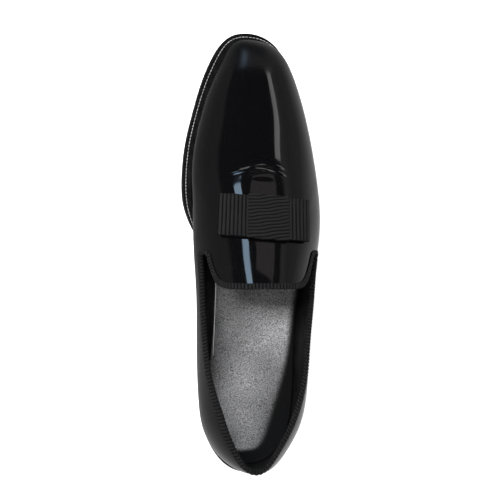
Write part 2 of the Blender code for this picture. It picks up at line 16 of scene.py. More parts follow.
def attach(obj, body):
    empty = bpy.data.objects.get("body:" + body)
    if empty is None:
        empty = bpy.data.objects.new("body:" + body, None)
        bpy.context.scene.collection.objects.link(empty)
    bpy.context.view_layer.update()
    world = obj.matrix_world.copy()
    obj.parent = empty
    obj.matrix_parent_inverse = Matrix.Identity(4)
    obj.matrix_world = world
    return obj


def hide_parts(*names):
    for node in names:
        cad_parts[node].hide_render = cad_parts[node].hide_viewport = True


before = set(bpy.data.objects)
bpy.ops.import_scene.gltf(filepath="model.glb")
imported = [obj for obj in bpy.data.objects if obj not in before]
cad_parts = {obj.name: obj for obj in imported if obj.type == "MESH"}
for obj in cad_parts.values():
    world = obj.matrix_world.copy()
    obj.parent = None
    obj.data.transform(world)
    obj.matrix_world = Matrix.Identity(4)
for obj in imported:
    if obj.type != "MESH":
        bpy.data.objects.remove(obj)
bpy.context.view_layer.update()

# Thicknesses and gaps
MM = 0.001
GAP = 0.3
LEATHER_WALL = 1.8
RIBBON = 0.55
BINDING_RIBBON = 0.5
SKIVED_SHARE = 0.6
SOLE_THICKNESS = 4.5
INSOLE_THICKNESS = 2.2
TOP_PIECE_THICKNESS = 6.0

# Lengthwise places, as s
SOLE_BACK, SOLE_FRONT = 0.0, 303.0
FEATHER_BACK, FEATHER_FRONT = 5.2, 295.8
SIDE_BACK, SIDE_FRONT = 4.0, 296.8
SEAT_END = 92.0
TREAD_START, TREAD_END = 188.0, 222.0
WELT_END_LATERAL, WELT_END_MEDIAL = 124.0, 160.0
NOTCH_SIDES, NOTCH_TIP = 147.0, 150.0
THROAT = 127.5

# Plan radii at the two ends of the shoe; at the toe on the medial and on the lateral side
HEEL_RADIUS, SIDE_HEEL_RADIUS = 27.0, 28.0
SOLE_TOE_RADII, SIDE_TOE_RADII = (27.5, 41.0), (26.5, 64.0)

# Heights of the sole
SEAT_BACK_Z, SEAT_SLOPE = 25.5, 0.033
TOE_SPRING = 10.0

# The last: one row per cross-section. side_* is where the upper is widest, ridge_* its top line, sole_* the
# outsole's edge and ledge_* how far the upper stands in from that edge where it meets the sole.
SECTION_COLUMNS = (
    "s", "side_medial", "side_lateral", "side_z", "ridge_x", "ridge_z",
    "sole_medial", "sole_lateral", "ledge_medial", "ledge_lateral",
)
SECTION_ROWS = [
    (20, 27.0, 22.9, 50.0, 0.0, 90.5, 26.6, 26.8, 2.6, 4.4),
    (36, 33.9, 31.6, 50.0, 0.0, 91.5, 31.6, 31.8, 2.4, 2.8),
    (52, 36.0, 35.4, 49.0, 0.0, 93.5, 32.6, 33.4, 2.2, 2.2),
    (72, 36.9, 37.0, 47.0, 0.0, 98.5, 30.0, 34.2, 1.0, 1.8),
    (94, 36.7, 38.4, 43.5, 0.3, 101.0, 25.2, 35.7, -1.6, 2.2),
    (116, 36.6, 41.3, 40.0, 1.5, 94.5, 21.2, 39.0, -4.0, 2.6),
    (138, 37.2, 44.4, 36.0, 3.2, 82.5, 21.6, 45.4, -3.2, 3.2),
    (160, 37.7, 48.2, 31.5, 4.8, 72.5, 32.5, 50.4, 2.6, 4.2),
    (182, 37.6, 49.7, 27.5, 5.6, 62.5, 41.7, 51.9, 6.2, 4.8),
    (204, 38.0, 48.3, 24.0, 5.2, 54.0, 43.1, 51.4, 6.8, 5.2),
    (226, 35.7, 45.1, 22.0, 4.4, 48.5, 40.8, 48.4, 6.7, 5.3),
    (248, 30.4, 40.4, 21.0, 3.6, 45.0, 35.7, 43.2, 6.8, 4.8),
    (268, 23.4, 34.4, 21.0, 2.8, 42.0, 30.0, 37.1, 8.0, 4.4),
    (284, 15.8, 27.0, 22.0, 2.2, 38.5, 23.6, 29.6, 8.6, 3.4),
]
SECTION = dict(zip(SECTION_COLUMNS, np.array(SECTION_ROWS, float).T))
SECTION_POWER = 2.1
TOE_BOX_RISE, TOE_POWER = 28.5, 2.7

# The quarters' topline as (s, z), and the tongue-shaped end of the vamp as shares of the half width
TOPLINE_ROWS = [
    (8, 86.0), (27, 84.0), (49, 80.3), (67, 75.3), (80, 71.5),
    (93, 67.0), (106, 62.3), (126, 56.5), (147, 50.5),
]
TONGUE_SHARE = 0.84
TONGUE_CORNER = 12.0
NOTCH_SPAN = 0.06
APPROACH_QUARTER, APPROACH_NOTCH, APPROACH_TONGUE = 2.0, 6.0, 60.0
HEEL_LEAN, HEEL_ROLL = 4.4, 2.6
LEAN_FROM_Z, LEAN_HEIGHT, LEAN_REACH = 50.0, 36.0, 60.0

# Pieces on the upper
LASTING_MARGIN = 9.0
BINDING_WIDTH, BINDING_GAP = 3.1, 0.5
BOW_S, BOW_X, BOW_TURN = 172.8, 6.3, math.radians(4.2)
BOW_HALF_LENGTH, BOW_DEPTH = 29.1, 27.4
BOW_BASE, BOW_LIFT, BOW_PUFF, BOW_PINCH, BOW_RISE_LENGTH = 0.6, 0.6, 1.7, 0.8, 8.0
BAND_HALF_WIDTH, BAND_CLEARANCE, BAND_OFFSET = 13.1, 0.45, 1.8
BOW_END_POWER, BAND_END_POWER = 4.0, 8.0

# The heel: where its breast and its rubber tip end on each side, how far its sides draw in, and its nails:
# their places as (x, s) and a head's rings as (share of its radius, height)
BREAST_LATERAL, BREAST_MEDIAL, BREAST_HOLLOW = 83.0, 90.0, 8.0
TIP_LATERAL, TIP_MEDIAL = 44.0, 29.0
STACK_STOPS, TIP_STOPS = (BREAST_LATERAL, -BREAST_MEDIAL), (TIP_LATERAL, -TIP_MEDIAL)
TOP_PIECE_STOPS = (BREAST_LATERAL, TIP_LATERAL + GAP, -TIP_MEDIAL - GAP, -BREAST_MEDIAL)
HEEL_INSET_TOP, HEEL_INSET_BOTTOM, HEEL_BEVEL = 0.6, 2.0, 0.8
SOLE_BEVEL = 0.7
LIFTS, LIFT_GROOVE, LIFT_GROOVE_SHARE = 4, 0.22, 0.07
NAIL_RADIUS, NAIL_PROUD, NAIL_Z = 1.1, 0.15, 0.05
NAIL_PLACES = [
    (-16.4, 74.8), (-18.4, 56.1), (-21.7, 37.5), (27.5, 70.8), (26.2, 51.0), (3.5, 7.0), (-7.5, 7.4),
]
NAIL_ROWS = [(1.0, 0.4), (1.0, 0.04), (0.85, 0.0), (0.4, -0.04)]

# The insole's rim round its sock as (s, medial width, lateral width), and the sheen and shadow painted on
# both, which darken the rim at the lateral side and the back
RIM_ROWS = [
    (20, 8.0, 10.0), (34, 7.0, 10.5), (44, 6.5, 9.0), (62, 4.0, 5.5),
    (80, 1.4, 1.8), (100, 0.8, 0.8), (300, 0.8, 0.8),
]
RIM_RISE, RIM_STEPS, SOCK_DISH = 0.35, 8, 1.4
# Painted shade: the sock darkens towards its lateral and back edges over these lengths, to the dark edge
# colour below
FADE_LATERAL, FADE_BACK = 5.0, 3.5
SOCK_EDGE_COLOUR, SOCK_MATT, SOCK_SATIN = (0.004, 0.004, 0.0042), 0.9, 0.42
SOCK_DARK, SOCK_PALE, SOCK_GRAIN_RANGE = (0.09, 0.09, 0.093), (0.58, 0.58, 0.59), (0.34, 0.68)
# Painted sheen and shadow on the sock, as its paleness by (s, medial side, middle, lateral side)
SHEEN_AND_SHADE_COLUMNS = ("s", "medial", "middle", "lateral")
SHEEN_AND_SHADE_ROWS = [
    (20, 1.00, 0.50, 0.08),
    (45, 1.00, 0.52, 0.12),
    (70, 0.42, 0.64, 0.26),
    (100, 0.12, 0.62, 1.00),
    (125, 0.20, 1.00, 1.00),
]
SHEEN_AND_SHADE = dict(zip(SHEEN_AND_SHADE_COLUMNS, np.array(SHEEN_AND_SHADE_ROWS).T))
SOCK_BACK_RIM, SOCK_HEEL_RADIUS = 7.1, 15.0
EDGE_BACK, EDGE_FRONT, EDGE_RADIUS = 80.0, 150.0, 0.22

# Ribs of the ribbon, and the shade painted into the grooves between them
RIB_PITCH, RIB_HEIGHT, RIB_ROUNDNESS = 2.3, 0.4, 0.9
BAND_RIB_SWEEP, BAND_RIB_SWEEP_POWER = 5.2, 1.25
BAND_RIB_WOBBLE, WOBBLE_ACROSS, WOBBLE_FORWARD = 0.22, 2.6, 3.1
# The grooves' colour is painted shade: darker than the crests where shade falls between the ribs
GROOVE_SHADE_COLOUR, CREST_COLOUR = (0.0008, 0.0008, 0.0008), (0.0098, 0.0098, 0.0102)
TONE, GROOVE_TONE, CREST_TONE = "tone", 0.2, 0.85

# The patent leather: slow waves and ripples, flex creases in front of the bow, the seam up the back, and
# where the gloss softens over the tip of the toe
WAVE_HEIGHT, WAVE_X, WAVE_S, WAVE_PHASES = 0.13, 11.0, 17.0, (0.4, 1.1)
RIPPLE_SHARE, RIPPLE_X, RIPPLE_S, RIPPLE_PHASE = 0.6, 7.3, 9.1, 2.0
CREASE_COLUMNS = ("s", "x", "half_width", "arch", "depth", "width")
CREASE_ROWS = [
    (206.2, 0.5, 26.0, 8.0, 0.50, 1.0),
    (208.6, 7.0, 20.0, 6.0, 0.36, 0.8),
    (204.2, 9.0, 18.0, 6.0, 0.34, 0.8),
    (201.0, 3.0, 17.0, 3.4, -0.12, 2.6),
]
CREASE_S, CREASE_REACH, CREASE_ROW_DENSITY = 205.5, 6.5, 5.0
SEAM_DEPTH, SEAM_WIDTH, SEAM_END = 0.35, 0.55, 20.0
DULL_FROM, DULL_FULL, DULLNESS = 270.0, 280.0, 0.3

# The welt's section: share of its width from the outer edge, height on the sole, share of the wheeling
WELT_ROWS = [
    (0.00, 0.00, 0.0), (0.00, 1.50, 0.0), (0.02, 2.00, 0.3), (0.07, 2.22, 1.0), (0.18, 2.28, 1.0),
    (0.29, 2.22, 0.9), (0.33, 1.90, 0.0), (0.37, 1.70, 0.0), (0.44, 1.70, 0.0), (0.48, 1.90, 0.0),
    (0.70, 2.00, 0.0), (1.00, 2.00, 0.0), (1.00, 0.00, 0.0),
]
WHEEL_PITCH, WHEEL_HEIGHT = 1.4, 0.16
WELT_THREAD_SHARE, WELT_THREAD_Z = 0.405, 1.86
WELT_STITCH, WELT_STITCH_HALF, WELT_THREAD_RADIUS, WELT_STITCH_TRIM = 2.4, 0.96, 0.23, 2.0
STITCH_END = 0.46

# The sewn channel under the sole
CHANNEL_INSET, CHANNEL_WIDTH, CHANNEL_DEPTH = 5.0, 1.1, 0.55
CHANNEL_END_LATERAL, CHANNEL_END_MEDIAL, CHANNEL_RUN_OUT = 102.0, 101.0, 4.0
CHANNEL_STITCH, CHANNEL_STITCH_HALF, CHANNEL_THREAD_RADIUS, CHANNEL_THREAD_LIFT = 3.4, 1.496, 0.3, 0.05

# Mesh steps
QUARTER_STEPS, NOTCH_STEPS, VAMP_STEPS = 96, 24, 176
SEAM_STEPS = (0.004, 0.008, 0.012, 0.018, 0.025)
LOWER_STEPS, OUTER_ROWS, INNER_ROWS = 12, 130, 40
PATH_SAMPLES, TOPLINE_SAMPLES, OUTLINE_SAMPLES, PLAN_SAMPLES = 160, 4001, 3000, 721
TOPLINE_STEP, VAMP_STEP, LEAST_SLANT = 0.004, 0.5, 0.5
BINDING_SHARES = (1.0, 0.9, 0.75, 0.6, 0.45, 0.3, 0.15, 0.0)
FOLD_TURNS, FAR_FOLD_TURNS = np.radians([30, 60, 90]), np.radians([90, 120, 150])
BEVEL_TURNS = np.radians([0, 30, 60, 90])
LOOP_STEPS, LOOP_ROWS, BAND_STEPS, BAND_ROWS = 241, 25, 161, 49
RIB_SAMPLES, WHEEL_SAMPLES = 8, 5
SOLE_STEPS, CORE_RINGS, CORE_SHARE, CHANNEL_RINGS = 150, 14, 0.97, 13
HEEL_STEPS, BREAST_STEPS, LIFT_RINGS = 90, 40, 12
STITCH_SIDES, STITCH_RINGS, NAIL_SIDES = 8, 6, 20
SOCK_RINGS, BEAD_SIDES, EDGE_STEPS = 24, 8, 60
SHARP_ANGLE = math.radians(48)
UP = np.array([0.0, 0.0, 1.0])


def unit(vectors):
    return vectors / np.linalg.norm(vectors, axis=-1, keepdims=True)


def smooth(share):
    """0 below a share of 0 and 1 above a share of 1, with an even turn between them."""
    share = np.clip(share, 0, 1)
    return share**2 * (3 - 2 * share)


def level_circle(radius, height, count):
    around = np.linspace(0, 2 * math.pi, count, endpoint=False)
    return np.stack([radius * np.cos(around), radius * np.sin(around), np.full(count, height)], axis=-1)


def along_ring(ring):
    return unit(np.roll(ring, -1, axis=0) - np.roll(ring, 1, axis=0))


def natural_spline(xs, ys):
    """A smooth curve through the points, going on straight beyond both ends."""
    xs, ys = np.asarray(xs, float), np.asarray(ys, float)
    steps = np.diff(xs)
    slopes = np.diff(ys) / steps
    system = np.eye(len(xs))
    wanted = np.zeros(len(xs))
    for i in range(1, len(xs) - 1):
        system[i, i - 1 : i + 2] = steps[i - 1], 2 * (steps[i - 1] + steps[i]), steps[i]
        wanted[i] = 6 * (slopes[i] - slopes[i - 1])
    bends = np.linalg.solve(system, wanted)
    first_slope = slopes[0] - steps[0] * bends[1] / 6
    last_slope = slopes[-1] + steps[-1] * bends[-2] / 6

    def curve(x):
        x = np.asarray(x, float)
        inside = np.clip(x, xs[0], xs[-1])
        k = np.clip(np.searchsorted(xs, inside) - 1, 0, len(steps) - 1)
        right = (inside - xs[k]) / steps[k]
        left = 1 - right
        bend = (left**3 - left) * bends[k] + (right**3 - right) * bends[k + 1]
        beyond = np.where(x < xs[0], first_slope, last_slope) * (x - inside)
        return left * ys[k] + right * ys[k + 1] + bend * steps[k] ** 2 / 6 + beyond

    return curve


def section_curve(column, ends=()):
    """A section column as a curve of s, with extra (s, value) rows where given."""
    rows = sorted([*zip(SECTION["s"], SECTION[column]), *ends])
    return natural_spline(*zip(*rows))


SIDE_Z = section_curve("side_z")
RIDGE_X = section_curve("ridge_x", [(SIDE_BACK, 0.0), (SIDE_FRONT, 0.0)])
TOPLINE_Z = natural_spline(*zip(*TOPLINE_ROWS))


class Outline:
    """A closed plan curve along an angle: 0 at the heel's back, pi at the toe, the lateral side first."""

    def __init__(self, back, front, heel_radius, toe_radii, medial, lateral):
        self.back, self.front = back, front
        self.heel_radius, self.toe_radii = heel_radius, np.asarray(toe_radii)
        self.medial, self.lateral = np.asarray(medial), np.asarray(lateral)
        angles = self.angle(SECTION["s"])
        heel, *toes = np.sqrt(np.array([heel_radius, *toe_radii]) * (front - back) / 2)
        self.spread_medial, self.spread_lateral = (
            natural_spline([0, *angles, math.pi], [heel, *(widths / np.sin(angles)), toe])
            for widths, toe in zip((self.medial, self.lateral), toes)
        )

    def grown(self, by):
        return Outline(
            self.back - by, self.front + by, self.heel_radius + by, self.toe_radii + by,
            self.medial + by, self.lateral + by,
        )

    def angle(self, s):
        share = (np.asarray(s, float) - self.back) / (self.front - self.back)
        return np.arccos(1 - 2 * np.clip(share, 0, 1))

    def half_widths(self, s):
        """How far the curve stands out on the medial and the lateral side at s."""
        angle = self.angle(s)
        return np.sin(angle) * self.spread_medial(angle), np.sin(angle) * self.spread_lateral(angle)

    def point(self, angle):
        angle = np.asarray(angle, float) % (2 * math.pi)
        spread = np.where(
            angle <= math.pi, self.spread_lateral(angle), self.spread_medial(2 * math.pi - angle)
        )
        s = self.back + (self.front - self.back) * (1 - np.cos(angle)) / 2
        return np.sin(angle) * spread, s


SOLE = Outline(
    SOLE_BACK, SOLE_FRONT, HEEL_RADIUS, SOLE_TOE_RADII, SECTION["sole_medial"], SECTION["sole_lateral"]
)
FEATHER = Outline(
    FEATHER_BACK, FEATHER_FRONT, HEEL_RADIUS, SIDE_TOE_RADII,
    SECTION["sole_medial"] - SECTION["ledge_medial"], SECTION["sole_lateral"] - SECTION["ledge_lateral"],
)
SIDE = Outline(
    SIDE_BACK, SIDE_FRONT, SIDE_HEEL_RADIUS, SIDE_TOE_RADII, SECTION["side_medial"], SECTION["side_lateral"]
)


def toe_closing(outline, s):
    """1 behind the middle of the shoe, falling to 0 at the toe with a blunt, rounded edge."""
    ahead = np.clip(-np.cos(outline.angle(s)), 0, 1)
    return (1 - ahead**TOE_POWER) ** (1 / TOE_POWER)


RISE = natural_spline(
    [*SECTION["s"], SIDE_FRONT],
    [*(SECTION["ridge_z"] - SECTION["side_z"]) / toe_closing(SIDE, SECTION["s"]), TOE_BOX_RISE],
)


class LastSurface:
    """The upper's shape above its widest line, grown outwards by a distance."""

    def __init__(self, grow):
        self.grow = grow
        self.side = SIDE.grown(grow)

    def rise(self, s):
        return (RISE(s) + self.grow) * toe_closing(self.side, s)

    def spans(self, s):
        """Plan distances from the ridge to the widest line, medial and lateral."""
        medial, lateral = self.side.half_widths(s)
        return medial + RIDGE_X(s), lateral - RIDGE_X(s)

    def point(self, s, share):
        """The point at s whose share of the half width is given, negative on the medial side."""
        medial, lateral = self.spans(s)
        x = RIDGE_X(s) + share * np.where(share < 0, medial, lateral)
        height = np.clip(1 - np.abs(share) ** SECTION_POWER, 0, 1) ** (1 / SECTION_POWER)
        z = SIDE_Z(s) + self.rise(s) * height
        lean = heel_lean(s, z)
        return np.stack([x - HEEL_ROLL * lean, s + HEEL_LEAN * lean, z], axis=-1)

    def plan_share(self, x, s):
        medial, lateral = self.spans(s)
        across = x - RIDGE_X(s)
        return np.clip(across / np.maximum(np.where(across < 0, medial, lateral), 1e-6), -1, 1)


def heel_lean(s, z):
    """How much of its lean the heel's back has at a height: 0 low down, 1 at the topline."""
    fade = np.clip(1 - (s - SIDE_BACK) / LEAN_REACH, 0, 1) ** 2
    return fade * np.clip((z - LEAN_FROM_Z) / LEAN_HEIGHT, 0, None) ** 2


OUTSIDE = LastSurface(0.0)
INSIDE = LastSurface(-LEATHER_WALL)


def sole_bottom(s):
    """Height of the outsole's underside: sloped seat, waist, flat tread and toe spring."""
    s = np.asarray(s, float)
    seat = SEAT_BACK_Z - SEAT_SLOPE * s
    length = TREAD_START - SEAT_END
    t = np.clip((s - SEAT_END) / length, 0, 1)
    start_z = SEAT_BACK_Z - SEAT_SLOPE * SEAT_END
    waist = start_z * (1 + np.cos(math.pi * t)) / 2 - SEAT_SLOPE * length * t * (1 - t) ** 2
    spring = TOE_SPRING * np.clip((s - TREAD_END) / (SOLE_FRONT - TREAD_END), 0, None) ** 2
    return np.where(s < SEAT_END, seat, np.where(s < TREAD_START, waist, spring))


def sole_top(s):
    return sole_bottom(s) + SOLE_THICKNESS


def quarter_share(s):
    """Share of the half width at which the quarter reaches its topline."""
    height = np.clip((TOPLINE_Z(s) - SIDE_Z(s)) / OUTSIDE.rise(s), 0, 1)
    return (1 - height**SECTION_POWER) ** (1 / SECTION_POWER)


NOTCH_ANGLE = float(SIDE.angle(NOTCH_TIP))
QUARTER_END, TONGUE_START = NOTCH_ANGLE - NOTCH_SPAN, NOTCH_ANGLE + NOTCH_SPAN


def topline(angle, back):
    """(s, share of the half width) of the open edge for one angle, on a surface that starts at back."""
    angle = angle % (2 * math.pi)
    side = 1 if angle <= math.pi else -1
    turn = angle if angle <= math.pi else 2 * math.pi - angle
    if turn <= QUARTER_END:
        along = (1 - math.cos(turn)) / (1 - math.cos(QUARTER_END))
        share = quarter_share(SIDE_BACK + (NOTCH_SIDES - SIDE_BACK) * along)
        return back + (NOTCH_SIDES - back) * along, side * float(share)
    if turn < TONGUE_START:
        around = math.pi * (turn - QUARTER_END) / (2 * NOTCH_SPAN)
        ends = float(quarter_share(NOTCH_SIDES)), TONGUE_SHARE
        share = (ends[0] + ends[1]) / 2 + (ends[0] - ends[1]) / 2 * math.cos(around)
        return NOTCH_SIDES + (NOTCH_TIP - NOTCH_SIDES) * math.sin(around), side * share
    across = (math.pi - turn) / (math.pi - TONGUE_START)
    s = THROAT + (NOTCH_SIDES - THROAT) * across**TONGUE_CORNER
    return s, side * TONGUE_SHARE * across


def mirrored(lateral):
    """Angles of the lateral half, from 0 to pi, followed by the same ones on the medial half."""
    return np.concatenate([lateral, 2 * math.pi - lateral[-2:0:-1]])


def upper_angles():
    quarter = np.linspace(0, QUARTER_END, QUARTER_STEPS, endpoint=False)
    notch = np.linspace(QUARTER_END, TONGUE_START, NOTCH_STEPS, endpoint=False)
    half_vamp = np.linspace(TONGUE_START, math.pi, VAMP_STEPS // 2 + 1)
    return mirrored(np.union1d(np.concatenate([quarter, notch, half_vamp]), SEAM_STEPS))


def topline_plan(surface, angle):
    s, share = topline(angle, surface.side.back)
    return surface.point(np.array(s), np.array(share))[:2]


def approach(angle):
    """How far before the topline a path turns square to it: short at the notch, longer at the tongue."""
    turn = min(angle, 2 * math.pi - angle)
    notch_share = np.clip((turn - QUARTER_END) / (TONGUE_START - QUARTER_END), 0, 1)
    tongue_share = np.clip((turn - TONGUE_START) / (math.pi - TONGUE_START), 0, 1)
    straight = APPROACH_QUARTER + (APPROACH_NOTCH - APPROACH_QUARTER) * notch_share
    return straight + APPROACH_TONGUE * tongue_share


def wall_path(surface, angle):
    """Points on the surface from its widest line up to the topline, for one angle of the outline."""
    t = np.linspace(0, 1, PATH_SAMPLES) ** 2
    start = np.array(surface.side.point(angle))
    if min(angle, 2 * math.pi - angle) <= QUARTER_END:
        end_s, end_share = topline(angle, surface.side.back)
        share = np.sign(end_share) * (1 - t) + end_share * t
        return surface.point(start[1] * (1 - t) + end_s * t, share)
    end = topline_plan(surface, angle)
    ahead = topline_plan(surface, angle + TOPLINE_STEP) - topline_plan(surface, angle - TOPLINE_STEP)
    square = unit(np.array([ahead[1], -ahead[0]]))
    turn_point = end + square * min(approach(angle), np.linalg.norm(end - start) / 2)
    t = t[:, None]
    plan = start * (1 - t) ** 2 + turn_point * 2 * t * (1 - t) + end * t**2
    return surface.point(plan[:, 1], surface.plan_share(plan[:, 0], plan[:, 1]))


def arc_lengths(path):
    return np.concatenate([[0], np.cumsum(np.linalg.norm(np.diff(path, axis=0), axis=1))])


def at_lengths(path, lengths):
    done = arc_lengths(path)
    return np.stack([np.interp(lengths, done, path[:, i]) for i in range(3)], axis=-1)


def lower_wall(surface, angles, height):
    """The wall between the sole and the widest line: height 0 at the sole, 1 at the widest line."""
    bottom_x, bottom_s = FEATHER.grown(surface.grow).point(angles)
    side_x, side_s = surface.side.point(angles)
    bottom_z = sole_top(bottom_s) + GAP - surface.grow
    out = 2 * height - height**2
    x = bottom_x + (side_x - bottom_x) * out
    s = bottom_s + (side_s - bottom_s) * out
    return np.stack([x, s, bottom_z + (SIDE_Z(side_s) - bottom_z) * height], axis=-1)


def wall_rows(surface, angles, count):
    """Rings of the wall from the lasting margin under the foot to the topline, as one array."""
    margin_x, margin_s = FEATHER.grown(-LASTING_MARGIN).point(angles)
    rows = [np.stack([margin_x, margin_s, sole_top(margin_s) + GAP - surface.grow], axis=-1)]
    lower = np.linspace(0, 1, LOWER_STEPS, endpoint=False)
    rows += [lower_wall(surface, angles, height) for height in lower]
    columns, below_topline = [], []
    for angle in angles:
        path = wall_path(surface, angle)
        steps = row_steps(path, count)
        columns.append(at_lengths(path, steps))
        below_topline.append(steps[-1] - steps)
    wall = np.stack(columns, axis=1)
    if surface is INSIDE:
        wall += grid_normals(wall) * pared(np.stack(below_topline, axis=1))[..., None]
    return np.concatenate([np.stack(rows), wall])


def row_steps(path, count):
    """Lengths along a path at which the wall has its rings, closer together at the creases."""
    done = arc_lengths(path)
    density = 1 + CREASE_ROW_DENSITY * np.exp(-(((path[:, 1] - CREASE_S) / CREASE_REACH) ** 2))
    rows = np.concatenate([[0], np.cumsum(np.diff(done) * (density[1:] + density[:-1]) / 2)])
    return np.interp(np.linspace(0, rows[-1], count), rows, done)


def pared(below_topline):
    """How much leather is pared off the wall's inside at distances below the topline."""
    return (1 - SKIVED_SHARE) * LEATHER_WALL * np.clip(1 - below_topline / BINDING_WIDTH, 0, 1)


def grid_normals(rows):
    """Outward normals of rings stacked from the sole up."""
    around = np.roll(rows, -1, axis=1) - np.roll(rows, 1, axis=1)
    upward = np.gradient(rows, axis=0)
    return unit(np.cross(around, upward) + 1e-12)


def upper_relief(points):
    """How far the leather stands out from the smooth last."""
    x, s = points[..., 0], points[..., 1]
    waves = np.sin(x / WAVE_X + WAVE_PHASES[0]) * np.sin(s / WAVE_S + WAVE_PHASES[1])
    ripples = RIPPLE_SHARE * np.sin(x / RIPPLE_X + s / RIPPLE_S + RIPPLE_PHASE)
    relief = WAVE_HEIGHT * (waves + ripples)
    for row in CREASE_ROWS:
        crease = dict(zip(CREASE_COLUMNS, row))
        across = (x - crease["x"]) / crease["half_width"]
        middle = crease["s"] - crease["arch"] * across**2
        fade = np.clip(1 - across**2, 0, 1) ** 2
        relief -= crease["depth"] * fade * np.exp(-(((s - middle) / crease["width"]) ** 2))
    return relief - SEAM_DEPTH * np.exp(-((x / SEAM_WIDTH) ** 2)) * (s < SEAM_END)


def edge_band(surface, angles, shares):
    """(points, normals, inward directions) for each share of the binding's width from the topline."""
    paths = [wall_path(surface, angle) for angle in angles]
    tangent = along_ring(np.array([path[-1] for path in paths]))
    inward = unit(np.array([at_lengths(path[::-1], [BINDING_WIDTH])[0] - path[-1] for path in paths]))
    slant = np.linalg.norm(np.cross(tangent, inward), axis=-1)
    depths = np.outer(BINDING_WIDTH / np.maximum(slant, LEAST_SLANT), shares)
    square = unit(inward - tangent * np.sum(inward * tangent, axis=-1, keepdims=True))
    bands = []
    columns = np.array([at_lengths(path[::-1], depth) for path, depth in zip(paths, depths)])
    for points, share in zip(columns.transpose(1, 0, 2), shares):
        normals = unit(np.cross(inward, along_ring(points)))
        if surface is INSIDE:
            points = points + normals * pared(share * BINDING_WIDTH)
        bands.append((points, normals, square))
    return bands


def ribs(place, pitch=RIB_PITCH):
    """Rounded ribs of a ribbon at places along it: 0 in the grooves and 1 on the crests."""
    return np.abs(np.cos(math.pi * place / pitch)) ** RIB_ROUNDNESS


def even_topline_angles():
    """(angles evenly spaced along the topline, their places along it), a whole number of ribs in all."""
    dense = np.linspace(0, 2 * math.pi, TOPLINE_SAMPLES)
    s, share = np.array([topline(angle, SIDE_BACK) for angle in dense[:-1]]).T
    line = OUTSIDE.point(s, share)
    done = arc_lengths(np.concatenate([line, line[:1]]))
    count = round(done[-1] / RIB_PITCH) * RIB_SAMPLES
    places = np.linspace(0, done[-1], count, endpoint=False)
    return np.interp(places, done, dense), places


def binding_rows():
    """(rings of the ribbon folded over the topline, once round its U-shaped section, tones of painted
    groove shade).
    """
    angles, places = even_topline_angles()
    tone = ribs(places, places[1] * RIB_SAMPLES)
    raised = RIB_HEIGHT * (tone - 1)[:, None]
    outer = edge_band(OUTSIDE, angles, BINDING_SHARES)
    inner = edge_band(INSIDE, angles, BINDING_SHARES[::-1])

    def fold(clearance):
        rows = [points + normals * clearance for points, normals, _ in outer]
        for (edge, normals, inward), turns in ((outer[-1], FOLD_TURNS), (inner[0], FAR_FOLD_TURNS)):
            rows += [edge + (normals * math.cos(t) - inward * math.sin(t)) * clearance for t in turns]
        return rows + [points - normals * clearance for points, normals, _ in inner]

    ribbed, plain = fold(BINDING_GAP + BINDING_RIBBON + raised), fold(BINDING_GAP)[::-1]
    return ribbed + plain, np.concatenate([np.tile(tone, len(ribbed)), np.ones(len(plain) * len(tone))])


def sole_angles():
    half = np.linspace(0, math.pi, SOLE_STEPS + 1)
    return mirrored(np.union1d(half, SOLE.angle([SEAT_END, TREAD_START, TREAD_END])))


def level_ring(outline, angles, height, extra=0.0):
    """A ring on an outline whose height is a function of s."""
    x, s = outline.point(angles)
    return np.stack([x, s, height(s) + extra], axis=-1)


def closing_rings(outline, angles, height, extra=0.0, count=CORE_RINGS):
    """Rings that draw together from an outline to the line along its middle."""
    x, s = outline.point(angles)
    core_s = np.clip(s, outline.back + outline.heel_radius, outline.front - min(outline.toe_radii))
    medial, lateral = outline.half_widths(core_s)
    core_x = (lateral - medial) / 2
    rings = []
    for share in np.linspace(0, CORE_SHARE, count)[1:]:
        ring_x, ring_s = x + (core_x - x) * share, s + (core_s - s) * share
        rings.append(np.stack([ring_x, ring_s, height(ring_s) + extra], axis=-1))
    return rings


def channel_depth(inset):
    """How deep the sewn channel is at a distance in from the sole's edge."""
    return CHANNEL_DEPTH * np.exp(-(((inset - CHANNEL_INSET) / (CHANNEL_WIDTH / 2)) ** 4))


def channel_reach(s):
    """1 where the channel runs and 0 in the waist and under the heel."""
    return np.clip((s - CHANNEL_END_LATERAL) / CHANNEL_RUN_OUT, 0, 1)


def rounded_edge(radius):
    """(inset, rise) of each ring round a lower edge that is rounded to a radius."""
    return [(radius * (1 - math.sin(turn)), radius * (1 - math.cos(turn))) for turn in BEVEL_TURNS]


def outsole_rings():
    angles = sole_angles()
    middle = SOLE.grown(-CHANNEL_INSET - CHANNEL_WIDTH)
    rings = closing_rings(middle, angles, sole_bottom)[::-1]
    for inset in np.linspace(CHANNEL_INSET + CHANNEL_WIDTH, CHANNEL_INSET - CHANNEL_WIDTH, CHANNEL_RINGS):
        ring = level_ring(SOLE.grown(-inset), angles, sole_bottom)
        ring[:, 2] += channel_depth(inset) * channel_reach(ring[:, 1])
        rings.append(ring)
    for inset, rise in rounded_edge(SOLE_BEVEL):
        rings.append(level_ring(SOLE.grown(-inset), angles, sole_bottom, rise))
    rings.append(level_ring(SOLE, angles, sole_top, -SOLE_BEVEL / 2))
    rings.append(level_ring(SOLE.grown(-SOLE_BEVEL / 2), angles, sole_top))
    return rings


INSOLE_OUTLINE = FEATHER.grown(-LEATHER_WALL - GAP)
INSOLE_BASE = LEATHER_WALL + 2 * GAP
INSOLE_TOP = INSOLE_BASE + INSOLE_THICKNESS


